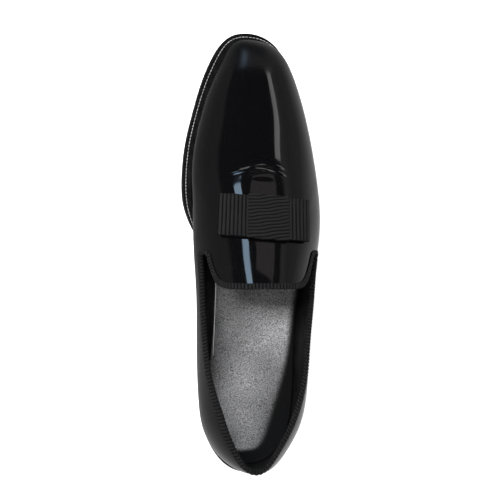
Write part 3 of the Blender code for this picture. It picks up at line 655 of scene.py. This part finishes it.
def sock_outline():
    """Edge of the grey sock, inside the insole by the width of the dark rim."""
    rim_s, medial, lateral = np.array(RIM_ROWS).T
    return Outline(
        INSOLE_OUTLINE.back + SOCK_BACK_RIM, INSOLE_OUTLINE.front - lateral[-1],
        SOCK_HEEL_RADIUS, SIDE_TOE_RADII,
        INSOLE_OUTLINE.medial - np.interp(SECTION["s"], rim_s, medial),
        INSOLE_OUTLINE.lateral - np.interp(SECTION["s"], rim_s, lateral),
    )


SOCK_OUTLINE = sock_outline()


def sock_tone(points):
    """How pale the sock is painted at each point, a painted sheen and shadow that darkens it at its lateral
    and back edges.
    """
    x, s = points[:, 0], points[:, 1]
    medial, lateral = SOCK_OUTLINE.half_widths(s)
    near_medial, middle, near_lateral = (np.interp(s, SHEEN_AND_SHADE["s"], SHEEN_AND_SHADE[place]) for place in SHEEN_AND_SHADE_COLUMNS[1:])
    side = 2 * (x + medial) / (medial + lateral) - 1
    sheen_and_shade = middle + np.where(side < 0, middle - near_medial, near_lateral - middle) * np.clip(side, -1, 1)
    # Painted shade takes the sock dark towards its lateral and back edges
    return sheen_and_shade * smooth((lateral - x) / FADE_LATERAL) * smooth((s - SOCK_OUTLINE.back) / FADE_BACK)


def insole_rings():
    """(rings of the insole, the painted sheen and shadow at each of their points)."""
    angles = sole_angles()
    outer = level_ring(INSOLE_OUTLINE, angles, sole_top, INSOLE_TOP)
    inner = level_ring(SOCK_OUTLINE, angles, sole_top, INSOLE_TOP)
    rim = np.linalg.norm(outer - inner, axis=1)
    rings = [level_ring(INSOLE_OUTLINE, angles, sole_top, INSOLE_BASE)]
    for share in np.linspace(1, 0, RIM_STEPS):
        ring = inner + (outer - inner) * share
        ring[:, 2] += RIM_RISE * rim * share**2
        rings.append(ring)
    sock = closing_rings(SOCK_OUTLINE, angles, sole_top, INSOLE_TOP, SOCK_RINGS)
    for ring, share in zip(sock, np.linspace(0, 1, SOCK_RINGS)[1:]):
        ring[:, 2] -= SOCK_DISH * share * (2 - share)
    rings += sock
    return rings, np.concatenate([sock_tone(ring) for ring in rings])


def welt_edges(angles):
    """(outer plan points, inner plan points, heights under both) along the welt."""
    wall_foot = lower_wall(OUTSIDE, angles, 0.0)
    wall_height = SIDE_Z(wall_foot[:, 1]) - wall_foot[:, 2]
    wall = lower_wall(OUTSIDE, angles, WELT_ROWS[-2][1] / wall_height)
    side_x, side_s = SIDE.point(angles)
    outward = unit(np.stack([side_x, side_s], axis=-1) - wall_foot[:, :2])
    inner = wall[:, :2] + outward * GAP
    outer = np.stack(SOLE.grown(-SOLE_BEVEL / 2).point(angles), axis=-1)
    return outer, inner, sole_top(outer[:, 1]) + GAP, sole_top(inner[:, 1]) + GAP


def even_angles(outline, first, last, spacing):
    """(angles between two others, evenly spaced along an outline, their places along it)."""
    dense = np.linspace(first, last, OUTLINE_SAMPLES)
    done = arc_lengths(np.column_stack([*outline.point(dense), np.zeros_like(dense)]))
    places = np.linspace(0, done[-1], round(done[-1] / spacing) + 1)
    return np.interp(places, done, dense), places


def on_welt(edges, share, height):
    outer, inner, outer_base, inner_base = edges
    plan = outer + (inner - outer) * share
    return np.column_stack([plan, outer_base + (inner_base - outer_base) * share + height])


def welt_angles(spacing, trim=0.0):
    first = float(FEATHER.angle(WELT_END_LATERAL + trim))
    last = 2 * math.pi - float(FEATHER.angle(WELT_END_MEDIAL + trim))
    return even_angles(SOLE, first, last, spacing)


def welt_sections():
    """Cross-sections of the welt from its lateral end, round the toe, to its medial end."""
    angles, places = welt_angles(WHEEL_PITCH / WHEEL_SAMPLES)
    edges = welt_edges(angles)
    wheel = WHEEL_HEIGHT * np.abs(np.cos(math.pi * places / WHEEL_PITCH))
    lines = [on_welt(edges, share, height + wheel * part) for share, height, part in WELT_ROWS]
    return np.stack(lines, axis=1)


def breast(medial, lateral):
    """Points of the hollow heel breast between its two corners."""
    t = np.linspace(0, 1, BREAST_STEPS)[1:-1, None]
    return medial + (lateral - medial) * t + np.array([0.0, -BREAST_HOLLOW]) * 4 * t * (1 - t)


def heel_ring(inset, z, stops, hollow=True):
    """A ring along runs of the heel's edge, each between two stops; if hollow, the breast closes it.

    A stop is an s, negative on the medial side.
    """
    outline = SOLE.grown(-inset)
    ends = np.sign(stops) * outline.angle(np.abs(stops))
    runs = [np.linspace(*pair, 2 * HEEL_STEPS // len(stops)) for pair in ends.reshape(-1, 2)]
    plan = np.column_stack(outline.point(np.concatenate(runs)))
    if hollow:
        plan = np.concatenate([plan, breast(plan[-1], plan[0])])
    return np.column_stack([plan, z(plan[:, 1])])


def level(z):
    return lambda s: np.full_like(s, z)


def heel_stack_rings():
    """Rings up the built heel, drawn in a little at the joint between two lifts."""
    foot = TOP_PIECE_THICKNESS + GAP
    rings = []
    for share in np.linspace(0, 1, LIFT_RINGS * LIFTS + 1):
        def height(s, share=share):
            return foot + (SEAT_BACK_Z - SEAT_SLOPE * s - GAP - foot) * share

        joint = abs((share * LIFTS + 0.5) % 1 - 0.5)
        groove = LIFT_GROOVE * math.exp(-((joint / LIFT_GROOVE_SHARE) ** 2))
        inset = HEEL_INSET_BOTTOM + (HEEL_INSET_TOP - HEEL_INSET_BOTTOM) * share + groove
        rings.append(heel_ring(inset, height, STACK_STOPS))
    return rings


def wearing_layer(stops, hollow=True):
    """Levels of a piece of the heel's wearing layer, from its rounded foot to its top."""
    levels = [(HEEL_INSET_BOTTOM + inset, NAIL_PROUD + rise) for inset, rise in rounded_edge(HEEL_BEVEL)]
    levels.append((HEEL_INSET_BOTTOM, TOP_PIECE_THICKNESS))
    return [heel_ring(inset, level(z), stops, hollow) for inset, z in levels]


def on_vamp(x, s, height):
    """Points above the vamp at plan places, lifted along its normal."""
    def surface(x, s):
        return OUTSIDE.point(s, OUTSIDE.plan_share(x, s))

    across = surface(x + VAMP_STEP, s) - surface(x - VAMP_STEP, s)
    forward = surface(x, s + VAMP_STEP) - surface(x, s - VAMP_STEP)
    return surface(x, s) + unit(np.cross(across, forward)) * height[..., None]


def on_bow(across, forward, height):
    """Points of the bow in its own frame, which is turned a little on the vamp."""
    across, forward, height = np.broadcast_arrays(across, forward, height)
    x = BOW_X + across * math.cos(BOW_TURN) + forward * math.sin(BOW_TURN)
    s = BOW_S - across * math.sin(BOW_TURN) + forward * math.cos(BOW_TURN)
    return on_vamp(x, s, height)


def flat_loop(half_length, power, steps):
    """(place, lift) round a flattened loop: places run out and back, lift is 1 on top and -1 below."""
    t = np.linspace(-1, 1, steps)
    place = t * (1.5 - 0.5 * t**2)
    lift = (1 - np.abs(place) ** power) ** (1 / power)
    return (
        half_length * np.concatenate([place, place[-2:0:-1]]), np.concatenate([lift, -lift[-2:0:-1]])
    )


BAND_HALF_HEIGHT = 2 * RIBBON + 1.5 * GAP


def ribbon_loop(shrink):
    """(place, height, lift) of the bow's loop across the vamp, pinched flat where the band holds it."""
    across, lift = flat_loop(BOW_HALF_LENGTH - shrink, BOW_END_POWER, LOOP_STEPS)
    held = BAND_HALF_WIDTH + BOW_PINCH
    free = smooth((np.abs(across - BAND_OFFSET) - held) / BOW_RISE_LENGTH)
    pinched_half = RIBBON + GAP / 2
    half = pinched_half + (BOW_PUFF - pinched_half) * free
    pinched_bottom = BOW_BASE + RIBBON + GAP
    bottom = pinched_bottom + (BOW_LIFT - pinched_bottom) * free
    return across, bottom + half + lift * (half - shrink), lift


def band_loop(shrink):
    """(place, height, lift) of the band's loop along the shoe, round the ribbon's width."""
    half_length = BOW_DEPTH / 2 + BAND_CLEARANCE + RIBBON - shrink
    forward, lift = flat_loop(half_length, BAND_END_POWER, BAND_STEPS)
    return forward, BOW_BASE + BAND_HALF_HEIGHT + lift * (BAND_HALF_HEIGHT - shrink), lift


def band_rib_place(across, forward):
    """Place along the band that sets its ribs, which sweep forward on its lateral half and waver."""
    sweep = BAND_RIB_SWEEP * ((across + BAND_HALF_WIDTH) / (2 * BAND_HALF_WIDTH)) ** BAND_RIB_SWEEP_POWER
    return forward - sweep + BAND_RIB_WOBBLE * np.sin(across / WOBBLE_ACROSS + forward / WOBBLE_FORWARD)


def ribbed_loop(loop, widths, rib_place, put):
    """(rings of a ribbon's loop: outside edge to edge, then inside and back, tones of painted groove
    shade).
    """
    outer, outer_height, lift = loop(0.0)
    inner, inner_height, _ = loop(RIBBON)
    rings, tones = [], []
    for width in widths:
        tones.append(ribs(rib_place(width, outer)))
        rings.append(put(width, outer, outer_height + RIB_HEIGHT * (tones[-1] - 1) * lift))
    rings += [put(width, inner, inner_height) for width in widths[::-1]]
    return rings, np.concatenate([*tones, np.ones(len(widths) * len(inner))])


def ribbon_rings():
    return ribbed_loop(
        ribbon_loop, np.linspace(-0.5, 0.5, LOOP_ROWS) * BOW_DEPTH,
        lambda width, place: place, lambda width, place, height: on_bow(place, width, height),
    )


def band_rings():
    return ribbed_loop(
        band_loop, np.linspace(-1, 1, BAND_ROWS) * BAND_HALF_WIDTH,
        band_rib_place, lambda width, place, height: on_bow(width + BAND_OFFSET, place, height),
    )


def ring_faces(count, points, closed):
    """Quads between neighbouring rings; with closed, also between the last ring and the first."""
    rings = np.arange(count if closed else count - 1)[:, None]
    here, there = rings * points, (rings + 1) % count * points
    i = np.arange(points)
    j = (i + 1) % points
    return np.stack([here + i, here + j, there + j, there + i], axis=-1).reshape(-1, 4).tolist()


def ladder_faces(start, points):
    """A cap made of strips across a ring that is mirrored about its first point."""
    rungs = points // 2
    faces = [(start, start + 1, start + points - 1)]
    for i in range(1, rungs - 1):
        faces.append((start + i, start + i + 1, start + points - i - 1, start + points - i))
    faces.append((start + rungs - 1, start + rungs, start + rungs + 1))
    return faces


def one_face(start, points):
    return [tuple(range(start, start + points))]


def loop_body(rings):
    """A body whose rings close on themselves both ways, as a ribbon or a shell with two open ends does."""
    return np.concatenate(rings), ring_faces(len(rings), len(rings[0]), True)


def layered_body(rings, caps=one_face):
    """A stack of rings closed at both ends; caps makes an end's faces from its first index and size."""
    points = len(rings[0])
    faces = ring_faces(len(rings), points, False)
    faces += caps(0, points) + caps((len(rings) - 1) * points, points)
    return np.concatenate(rings), faces


def copies(rings, places, along):
    """Copies of a small capped body, given as (along, side, up), each at its place and direction."""
    side = unit(np.cross(UP, along))
    up = np.cross(along, side)
    shape, faces = layered_body(rings)
    frames = np.stack([along, side, up], axis=1)
    points = places[:, None, :] + np.einsum("kj,njc->nkc", shape, frames)
    count = len(shape)
    all_faces = [tuple(i + n * count for i in face) for n in range(len(places)) for face in faces]
    return points.reshape(-1, 3), all_faces


def stitch_rings(half_length, radius):
    """A plump stitch, lying along its first axis."""
    rings = []
    for turn in np.linspace(-STITCH_END, STITCH_END, STITCH_RINGS) * math.pi:
        circle = level_circle(radius * math.cos(turn) ** 0.5, half_length * math.sin(turn), STITCH_SIDES)
        rings.append(np.roll(circle, 1, axis=-1))
    return rings


def nail_rings():
    """A low domed nail head whose face looks down."""
    return [level_circle(NAIL_RADIUS * share, height, NAIL_SIDES) for share, height in NAIL_ROWS]


def middle_of_plan():
    """Middle of the shoe's plan box, which the sole and the upper's widest line fill between them."""
    angles = np.linspace(0, 2 * math.pi, PLAN_SAMPLES)
    x = np.concatenate([SOLE.point(angles)[0], SIDE.point(angles)[0]])
    return np.array([(x.min() + x.max()) / 2, (SOLE_BACK + SOLE_FRONT) / 2, 0.0])


PLAN_MIDDLE = middle_of_plan()


def placed(points):
    """Row frame, in metres, of points in the shoemaker's frame."""
    return (np.asarray(points, float) - PLAN_MIDDLE) * MM


def grey(value):
    return (value,) * 3


# Materials with patches of two colours and a fine grain, so many of either per metre
GRAINED_COLUMNS = ("roughness", "patches", "dark", "light", "grain", "grain_mm", "sockets")
GRAINED_ROWS = {
    "lining_leather": (0.5, 90, (0.004, 0.004, 0.0042), (0.008, 0.008, 0.0084), 1400, 0.05, {}),
    "painted_sole": (
        0.16, 40, grey(0.006), grey(0.012), 500, 0.03, {"Coat_Weight": 0.6, "Coat_Roughness": 0.06},
    ),
    "welt_leather": (
        0.4, 220, grey(0.003), (0.007, 0.0068, 0.0068), 900, 0.05, {"Specular_IOR_Level": 0.04},
    ),
    "top_piece_leather": (0.28, 220, grey(0.003), (0.007, 0.0068, 0.0068), 900, 0.04, {}),
    "tip_rubber": (0.66, 300, grey(0.017), grey(0.03), 1600, 0.07, {}),
    # The welt's pale thread is a painted highlight along its stitches
    "welt_thread_highlight": (0.4, 900, grey(0.24), grey(0.62), 2500, 0.06, {}),
    "dark_thread": (0.4, 900, grey(0.02), grey(0.06), 2500, 0.06, {}),
    # The sock's cut edge: pale as cut leather is, and paler still as a painted highlight
    "cut_edge_and_highlight": (0.4, 900, grey(0.4), grey(0.7), 2500, 0.06, {}),
}
# The values of a noise texture between which roughness and the colour of patches change
NOISE_RANGE, PATCH_RANGE = (0.3, 0.7), (0.35, 0.65)


def socket_of(material, name):
    """An input of the material's shader."""
    return material.node_tree.nodes["Principled BSDF"].inputs[name]


def feed(material, name, source):
    material.node_tree.links.new(source, socket_of(material, name))


def fed(material, name):
    """What feeds an input of the material's shader."""
    return socket_of(material, name).links[0].from_socket


def new_material(name, colour, roughness, **sockets):
    """A material with plain values on its shader's own sockets."""
    made = bpy.data.materials.new(name)
    made.use_nodes = True
    sockets.update(Base_Color=(*colour, 1.0), Roughness=roughness)
    for socket, value in sockets.items():
        socket_of(made, socket.replace("_", " ")).default_value = value
    return made


def object_place(tree):
    return tree.nodes.new("ShaderNodeTexCoord").outputs["Object"]


def noise(tree, scale, detail=3.0, stretch=(1.0, 1.0, 1.0)):
    """Noise in the row frame; scale is its features per metre."""
    mapping = tree.nodes.new("ShaderNodeMapping")
    mapping.inputs["Scale"].default_value = stretch
    texture = tree.nodes.new("ShaderNodeTexNoise")
    texture.inputs["Scale"].default_value = scale
    texture.inputs["Detail"].default_value = detail
    tree.links.new(object_place(tree), mapping.inputs["Vector"])
    tree.links.new(mapping.outputs["Vector"], texture.inputs["Vector"])
    return texture.outputs["Fac"]


def ramp(tree, source, stops):
    """A colour ramp over a source value; stops are (place, colour)."""
    node = tree.nodes.new("ShaderNodeValToRGB")
    tree.links.new(source, node.inputs["Fac"])
    elements = node.color_ramp.elements
    while len(elements) < len(stops):
        elements.new(0.5)
    for element, (place, colour) in zip(elements, stops):
        element.position = place
        element.color = (*colour, 1.0)
    return node.outputs["Color"]


def spread(tree, source, low, high, start=0.0, end=1.0):
    """A value that runs from start where the source is low to end where it is high."""
    node = tree.nodes.new("ShaderNodeMapRange")
    for name, value in (("From Min", low), ("From Max", high), ("To Min", start), ("To Max", end)):
        node.inputs[name].default_value = value
    tree.links.new(source, node.inputs["Value"])
    return node.outputs["Result"]


def blend(tree, share, first, second, how="MIX"):
    """A colour mixed from two others; share and both colours are each a socket or a plain value."""
    mix = tree.nodes.new("ShaderNodeMix")
    mix.data_type, mix.blend_type = "RGBA", how
    colours = [socket for socket in mix.inputs if socket.type == "RGBA"]
    for value, socket in zip((share, first, second), (mix.inputs["Factor"], *colours)):
        if isinstance(value, bpy.types.NodeSocket):
            tree.links.new(value, socket)
        else:
            socket.default_value = value
    return next(socket for socket in mix.outputs if socket.type == "RGBA")


def tone_of(tree):
    """The tone that a piece's points carry, which sets the ribbon's painted shade and the sock's painted
    sheen and shadow.
    """
    tone = tree.nodes.new("ShaderNodeVertexColor")
    tone.layer_name = TONE
    return tone.outputs["Color"]


def vary_colour(material, scale, dark, light, detail=4.0, limits=PATCH_RANGE):
    tree = material.node_tree
    feed(material, "Base Color", ramp(tree, noise(tree, scale, detail), list(zip(limits, (dark, light)))))


def shade_slowly(material, scale, low, high):
    """Multiplies the material's colour by slow dark and light patches."""
    tree = material.node_tree
    patches = ramp(tree, noise(tree, scale, detail=1.0), list(zip(PATCH_RANGE, (grey(low), grey(high)))))
    feed(material, "Base Color", blend(tree, 1.0, fed(material, "Base Color"), patches, "MULTIPLY"))


def vary_roughness(material, scale, low, high):
    tree = material.node_tree
    feed(material, "Roughness", spread(tree, noise(tree, scale), *NOISE_RANGE, low, high))


def add_bump(material, scale, depth_mm, **texture):
    """Fine grain that is depth_mm deep."""
    tree = material.node_tree
    bump = tree.nodes.new("ShaderNodeBump")
    bump.inputs["Distance"].default_value = depth_mm * MM
    tree.links.new(noise(tree, scale, **texture), bump.inputs["Height"])
    feed(material, "Normal", bump.outputs["Normal"])


def dull_toe(material):
    """Makes the gloss softer over the tip of the toe."""
    tree = material.node_tree
    parts = tree.nodes.new("ShaderNodeSeparateXYZ")
    tree.links.new(object_place(tree), parts.inputs["Vector"])
    ends = placed([(0.0, s, 0.0) for s in (DULL_FROM, DULL_FULL)])[:, 1]
    added = tree.nodes.new("ShaderNodeMath")
    added.operation = "MULTIPLY_ADD"
    tree.links.new(spread(tree, parts.outputs["Y"], *ends), added.inputs[0])
    added.inputs[1].default_value = DULLNESS
    tree.links.new(fed(material, "Roughness"), added.inputs[2])
    feed(material, "Roughness", added.outputs["Value"])


def patent_leather():
    """Mirror gloss, softer over the tip of the toe."""
    made = new_material("patent_leather", (0.0015, 0.0015, 0.0018), roughness=0.06)
    vary_roughness(made, scale=60, low=0.04, high=0.09)
    dull_toe(made)
    add_bump(made, scale=90, depth_mm=0.03, detail=1.0)
    return made


def grosgrain():
    """Ribbon with shade painted into the grooves between its ribs, darker than their crests."""
    made = new_material("grosgrain", (0.016, 0.016, 0.017), roughness=0.75, Specular_IOR_Level=0.15)
    tree = made.node_tree
    # Painted shade: the rib tone makes the grooves darker than the crests
    stops = [(GROOVE_TONE, GROOVE_SHADE_COLOUR), (CREST_TONE, CREST_COLOUR)]
    feed(made, "Base Color", ramp(tree, tone_of(tree), stops))
    add_bump(made, scale=2600, depth_mm=0.05, detail=2.0)
    return made


def sock_leather():
    """Satin leather with a painted sheen where its tone is high and painted shade, as dark as the lining,
    at its edges.
    """
    made = new_material("sock_leather", (0.1, 0.1, 0.102), roughness=0.5, Specular_IOR_Level=0.6)
    vary_colour(made, 1300, SOCK_DARK, SOCK_PALE, detail=6.0, limits=SOCK_GRAIN_RANGE)
    shade_slowly(made, scale=26, low=0.72, high=1.2)
    tree = made.node_tree
    tone = tone_of(tree)
    # Painted sheen and shadow: the tone blends from the dark edge colour to the grained colour
    feed(made, "Base Color", blend(tree, tone, (*SOCK_EDGE_COLOUR, 1.0), fed(made, "Base Color")))
    feed(made, "Roughness", ramp(tree, tone, [(0.0, grey(SOCK_MATT)), (1.0, grey(SOCK_SATIN))]))
    add_bump(made, scale=800, depth_mm=0.25, detail=4.0)
    return made


def grained(name):
    """A material from its row in the table."""
    row = dict(zip(GRAINED_COLUMNS, GRAINED_ROWS[name]))
    made = new_material(name, row["light"], row["roughness"], **row["sockets"])
    vary_colour(made, row["patches"], row["dark"], row["light"])
    add_bump(made, row["grain"], row["grain_mm"])
    return made


def painted_sole():
    made = grained("painted_sole")
    vary_roughness(made, scale=120, low=0.12, high=0.26)
    return made


def heel_leather():
    """Waxed edges of the lifts, with fibres that run round the heel."""
    made = new_material("heel_leather", grey(0.01), roughness=0.3, Coat_Weight=0.5, Coat_Roughness=0.15)
    vary_colour(made, 150, grey(0.007), (0.02, 0.019, 0.018))
    add_bump(made, scale=220, depth_mm=0.06, detail=4.0, stretch=(1.0, 1.0, 12.0))
    return made


def nail_steel():
    made = new_material("nail_steel", (0.62, 0.6, 0.56), roughness=0.3, Metallic=1.0)
    vary_roughness(made, scale=800, low=0.22, high=0.45)
    return made


def add_piece(name, body, materials, node=None, inner_from=None, tones=None):
    """Adds a piece that rides on the shoe; faces from inner_from on take the second material."""
    points, faces = body
    mesh = bpy.data.meshes.new(name)
    mesh.from_pydata(placed(points).tolist(), [], faces)
    for material in materials:
        mesh.materials.append(material)
    if inner_from is not None:
        index = np.zeros(len(faces), int)
        index[inner_from:] = 1
        mesh.polygons.foreach_set("material_index", index)
    work = bmesh.new()
    work.from_mesh(mesh)
    bmesh.ops.recalc_face_normals(work, faces=work.faces[:])
    work.to_mesh(mesh)
    work.free()
    if tones is not None:
        tone = mesh.color_attributes.new(TONE, "FLOAT_COLOR", "POINT")
        tone.data.foreach_set("color", np.repeat(tones, 4))
    mesh.shade_smooth()
    mesh.set_sharp_from_angle(angle=SHARP_ANGLE)
    piece = bpy.data.objects.new(name, mesh)
    bpy.context.collection.objects.link(piece)
    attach(piece, "root")
    if node:
        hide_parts(node)


def upper_body():
    """(points, faces) of the upper, and how many of the faces belong to its outside."""
    angles = upper_angles()
    outside = wall_rows(OUTSIDE, angles, OUTER_ROWS)
    outside = outside + grid_normals(outside) * upper_relief(outside)[..., None]
    inside = wall_rows(INSIDE, angles, INNER_ROWS)[::-1]
    return loop_body([*outside, *inside]), (len(outside) - 1) * len(angles)


def stitches(places, half_length, radius):
    """Stitches along a row of places."""
    return copies(stitch_rings(half_length, radius), places, unit(np.gradient(places, axis=0)))


def welt_stitches():
    angles, _ = welt_angles(WELT_STITCH, WELT_STITCH_TRIM)
    places = on_welt(welt_edges(angles), WELT_THREAD_SHARE, WELT_THREAD_Z)
    return stitches(places, WELT_STITCH_HALF, WELT_THREAD_RADIUS)


def channel_stitches():
    outline = SOLE.grown(-CHANNEL_INSET)
    first = float(outline.angle(CHANNEL_END_LATERAL))
    last = 2 * math.pi - float(outline.angle(CHANNEL_END_MEDIAL))
    angles, _ = even_angles(outline, first, last, CHANNEL_STITCH)
    places = level_ring(outline, angles, sole_bottom, CHANNEL_THREAD_RADIUS + CHANNEL_THREAD_LIFT)
    return stitches(places, CHANNEL_STITCH_HALF, CHANNEL_THREAD_RADIUS)


def nails():
    places = np.array([(x, s, NAIL_Z) for x, s in NAIL_PLACES])
    return copies(nail_rings(), places, np.tile([1.0, 0.0, 0.0], (len(places), 1)))


def sock_edge():
    """A fine pale bead along the sock's cut edge on the medial side of the waist, partly a painted
    highlight.
    """
    ends = 2 * math.pi - SOCK_OUTLINE.angle([EDGE_FRONT, EDGE_BACK])
    path = level_ring(SOCK_OUTLINE, np.linspace(*ends, EDGE_STEPS), sole_top, INSOLE_TOP)
    side = unit(np.cross(UP, np.gradient(path, axis=0)))
    turns = np.linspace(0, 2 * math.pi, BEAD_SIDES, endpoint=False)
    rings = [
        place + EDGE_RADIUS * (np.outer(np.cos(turns), across) + np.outer(np.sin(turns), UP))
        for place, across in zip(path, side)
    ]
    return layered_body(rings)


def build_pieces():
    upper, outside_faces = upper_body()
    leathers = [patent_leather(), grained("lining_leather")]
    add_piece("upper_leather", upper, leathers, "upper", outside_faces)
    ribbon = grosgrain()
    for name, (rings, tones), slot, node in (
        ("binding_ribbon", binding_rows(), "binding_ribbon", "topline_binding"),
        ("bow_loop", ribbon_rings(), "bow_ribbon", "bow_ribbon"),
        ("bow_wrap", band_rings(), "bow_band_ribbon", "bow_band"),
    ):
        add_piece(name, loop_body(rings), [ribbon], node, tones=tones)
    rings, tones = insole_rings()
    sock = layered_body(rings, ladder_faces)
    add_piece("sock", sock, [sock_leather()], "insole", tones=tones)
    sole = layered_body(outsole_rings(), ladder_faces)
    welt, lifts = layered_body(welt_sections()), layered_body(heel_stack_rings())
    top_piece = layered_body(wearing_layer(TOP_PIECE_STOPS))
    tip = layered_body(wearing_layer(TIP_STOPS, hollow=False))
    for name, body, material, slot, node in (
        ("sock_edge", sock_edge(), grained("cut_edge_and_highlight"), "insole_leather", None),
        ("sole_leather", sole, painted_sole(), "sole_leather", "outsole"),
        ("wheeled_welt", welt, grained("welt_leather"), "welt_leather", "welt"),
        ("welt_stitches", welt_stitches(), grained("welt_thread_highlight"), "welt_leather", None),
        ("channel_stitches", channel_stitches(), grained("dark_thread"), "sole_leather", None),
        ("heel_lifts", lifts, heel_leather(), "heel_leather", "heel_stack"),
        ("top_piece", top_piece, grained("top_piece_leather"), "top_piece_leather", "heel_top_piece"),
        ("rubber_tip", tip, grained("tip_rubber"), "tip_rubber", "heel_tip"),
        ("heel_nails", nails(), nail_steel(), "top_piece_leather", None),
    ):
        add_piece(name, body, [material], node)


# Studio: a pale bowl, a gradient seen only in the gloss, soft lights and a camera nearly overhead
BOWL_FLAT, BOWL_RISE, BOWL_HEIGHT = 1.7, 0.9, 1.8
BOWL_SIDES, BOWL_TURNS, BOWL_MIDDLE = 96, 12, 0.02
FLOOR_COLOUR, FLOOR_GLOW, WHITE = grey(0.86), 0.62, (1.0, 1.0, 1.0, 1.0)
CAMERA_HEIGHT, CAMERA_TILT = 900.0, math.radians(8.3)
AIM_X, AIM_Y = 1.4, 0.5
PIXELS_PER_MM, IMAGE_SIDE, SENSOR = 1.411, 500, 36.0
LIGHT_COLUMNS = ("name", "direction", "distance", "width", "length", "watts", "colour", "in_gloss")
LIGHT_ROWS = [
    ("overhead", (-0.4, 0.4, 1.0), 1.5, 0.6, 0.6, 36.0, (1.0, 1.0, 1.0), False),
    ("fill_left", (-0.9, -0.1, 0.35), 1.3, 0.5, 0.9, 3.0, (1.0, 1.0, 1.0), False),
    ("softbox_right", (0.50, 0.45, 0.74), 1.0, 0.12, 0.23, 0.19, (1.0, 1.0, 1.0), True),
    ("sheen_top", (0.03, 0.0, 1.0), 1.4, 0.45, 0.34, 1.1, (1.0, 1.0, 1.0), True),
    ("strip_back", (0.22, -0.28, 0.93), 1.2, 1.30, 0.30, 2.0, (1.0, 0.96, 0.94), True),
    ("window_left", (-0.265, 0.745, 0.614), 1.2, 0.19, 0.30, 1.15, (0.56, 0.77, 1.0), True),
    ("card_front", (0.16, 0.70, 0.68), 1.2, 0.50, 0.26, 0.17, (1.0, 0.90, 0.87), True),
]
# Greys that the gloss reflects, as (share of the way from the medial to the lateral side, grey)
GLOSS_SIDES = [
    (0.0, 0.15), (0.13, 0.19), (0.17, 0.03), (0.5, 0.02),
    (0.75, 0.03), (0.78, 0.36), (0.85, 0.22), (1.0, 0.3),
]
GLOSS_BELOW = [(0.0, 0.2), (0.35, 0.2), (0.5, 0.25), (0.7, 0.55), (1.0, 0.8)]
GLOSS_BEHIND = [(0.0, 0.4), (0.5, 0.5), (1.0, 1.0)]
BELOW_FROM, BELOW_FULL = 0.2, -0.35
BEHIND_FROM, BEHIND_FULL = -0.02, -0.4


def make_floor():
    """A round floor that turns up into a wall far behind the shoe."""
    turns = np.linspace(0, math.pi / 2, BOWL_TURNS)
    profile = [(BOWL_MIDDLE, 0.0), (BOWL_FLAT, 0.0)]
    profile += [(BOWL_FLAT + BOWL_RISE * math.sin(t), BOWL_RISE * (1 - math.cos(t))) for t in turns[1:]]
    profile.append((BOWL_FLAT + BOWL_RISE, BOWL_HEIGHT))
    rings = [level_circle(radius, height, BOWL_SIDES) for radius, height in profile]
    faces = ring_faces(len(rings), BOWL_SIDES, False) + one_face(0, BOWL_SIDES)
    mesh = bpy.data.meshes.new("floor")
    mesh.from_pydata(np.concatenate(rings).tolist(), [], faces)
    mesh.shade_smooth()
    glow = {"Emission_Color": WHITE, "Emission_Strength": FLOOR_GLOW}
    mesh.materials.append(new_material("pale_floor", FLOOR_COLOUR, roughness=0.9, **glow))
    floor = bpy.data.objects.new("floor", mesh)
    floor.visible_glossy = False
    bpy.context.collection.objects.link(floor)


def make_world():
    """What the gloss reflects: dark overhead, pale sides, paler low on the lateral side and behind."""
    world = bpy.data.worlds.new("studio")
    world.use_nodes = True
    tree = world.node_tree
    direction = tree.nodes.new("ShaderNodeTexCoord")
    parts = tree.nodes.new("ShaderNodeSeparateXYZ")
    tree.links.new(direction.outputs["Generated"], parts.inputs["Vector"])
    across = spread(tree, parts.outputs["X"], -1.0, 1.0)
    sides, below, behind = (
        ramp(tree, across, [(place, grey(value)) for place, value in stops])
        for stops in (GLOSS_SIDES, GLOSS_BELOW, GLOSS_BEHIND)
    )
    low = blend(tree, spread(tree, parts.outputs["Y"], BEHIND_FROM, BEHIND_FULL), below, behind)
    result = blend(tree, spread(tree, parts.outputs["Z"], BELOW_FROM, BELOW_FULL), sides, low)
    tree.links.new(result, tree.nodes["Background"].inputs["Color"])
    bpy.context.scene.world = world


def make_lights():
    for row in LIGHT_ROWS:
        light = dict(zip(LIGHT_COLUMNS, row))
        data = bpy.data.lights.new(light["name"], "AREA")
        data.shape = "RECTANGLE"
        data.size, data.size_y = light["width"], light["length"]
        data.energy = light["watts"]
        data.color = light["colour"]
        lamp = bpy.data.objects.new(light["name"], data)
        towards = Vector(light["direction"]).normalized()
        across = Vector((0.0, 1.0, 0.0)).cross(towards).normalized()
        axes = Matrix((across, towards.cross(across), towards)).transposed()
        lamp.matrix_world = Matrix.Translation(towards * light["distance"]) @ axes.to_4x4()
        lamp.visible_glossy = light["in_gloss"]
        bpy.context.collection.objects.link(lamp)


def make_camera():
    data = bpy.data.cameras.new("camera")
    distance = CAMERA_HEIGHT / math.cos(CAMERA_TILT)
    data.sensor_width = SENSOR
    data.lens = SENSOR * PIXELS_PER_MM * distance / IMAGE_SIDE
    camera = bpy.data.objects.new("camera", data)
    aim = Vector((AIM_X, AIM_Y, 0.0)) * MM
    back = Vector((-math.sin(CAMERA_TILT), 0.0, math.cos(CAMERA_TILT)))
    camera.location = aim + back * distance * MM
    camera.rotation_euler = (0.0, -CAMERA_TILT, 0.0)
    bpy.context.collection.objects.link(camera)
    bpy.context.scene.camera = camera


build_pieces()
make_floor()
make_world()
make_lights()
make_camera()
bpy.context.scene.view_settings.view_transform = "Standard"
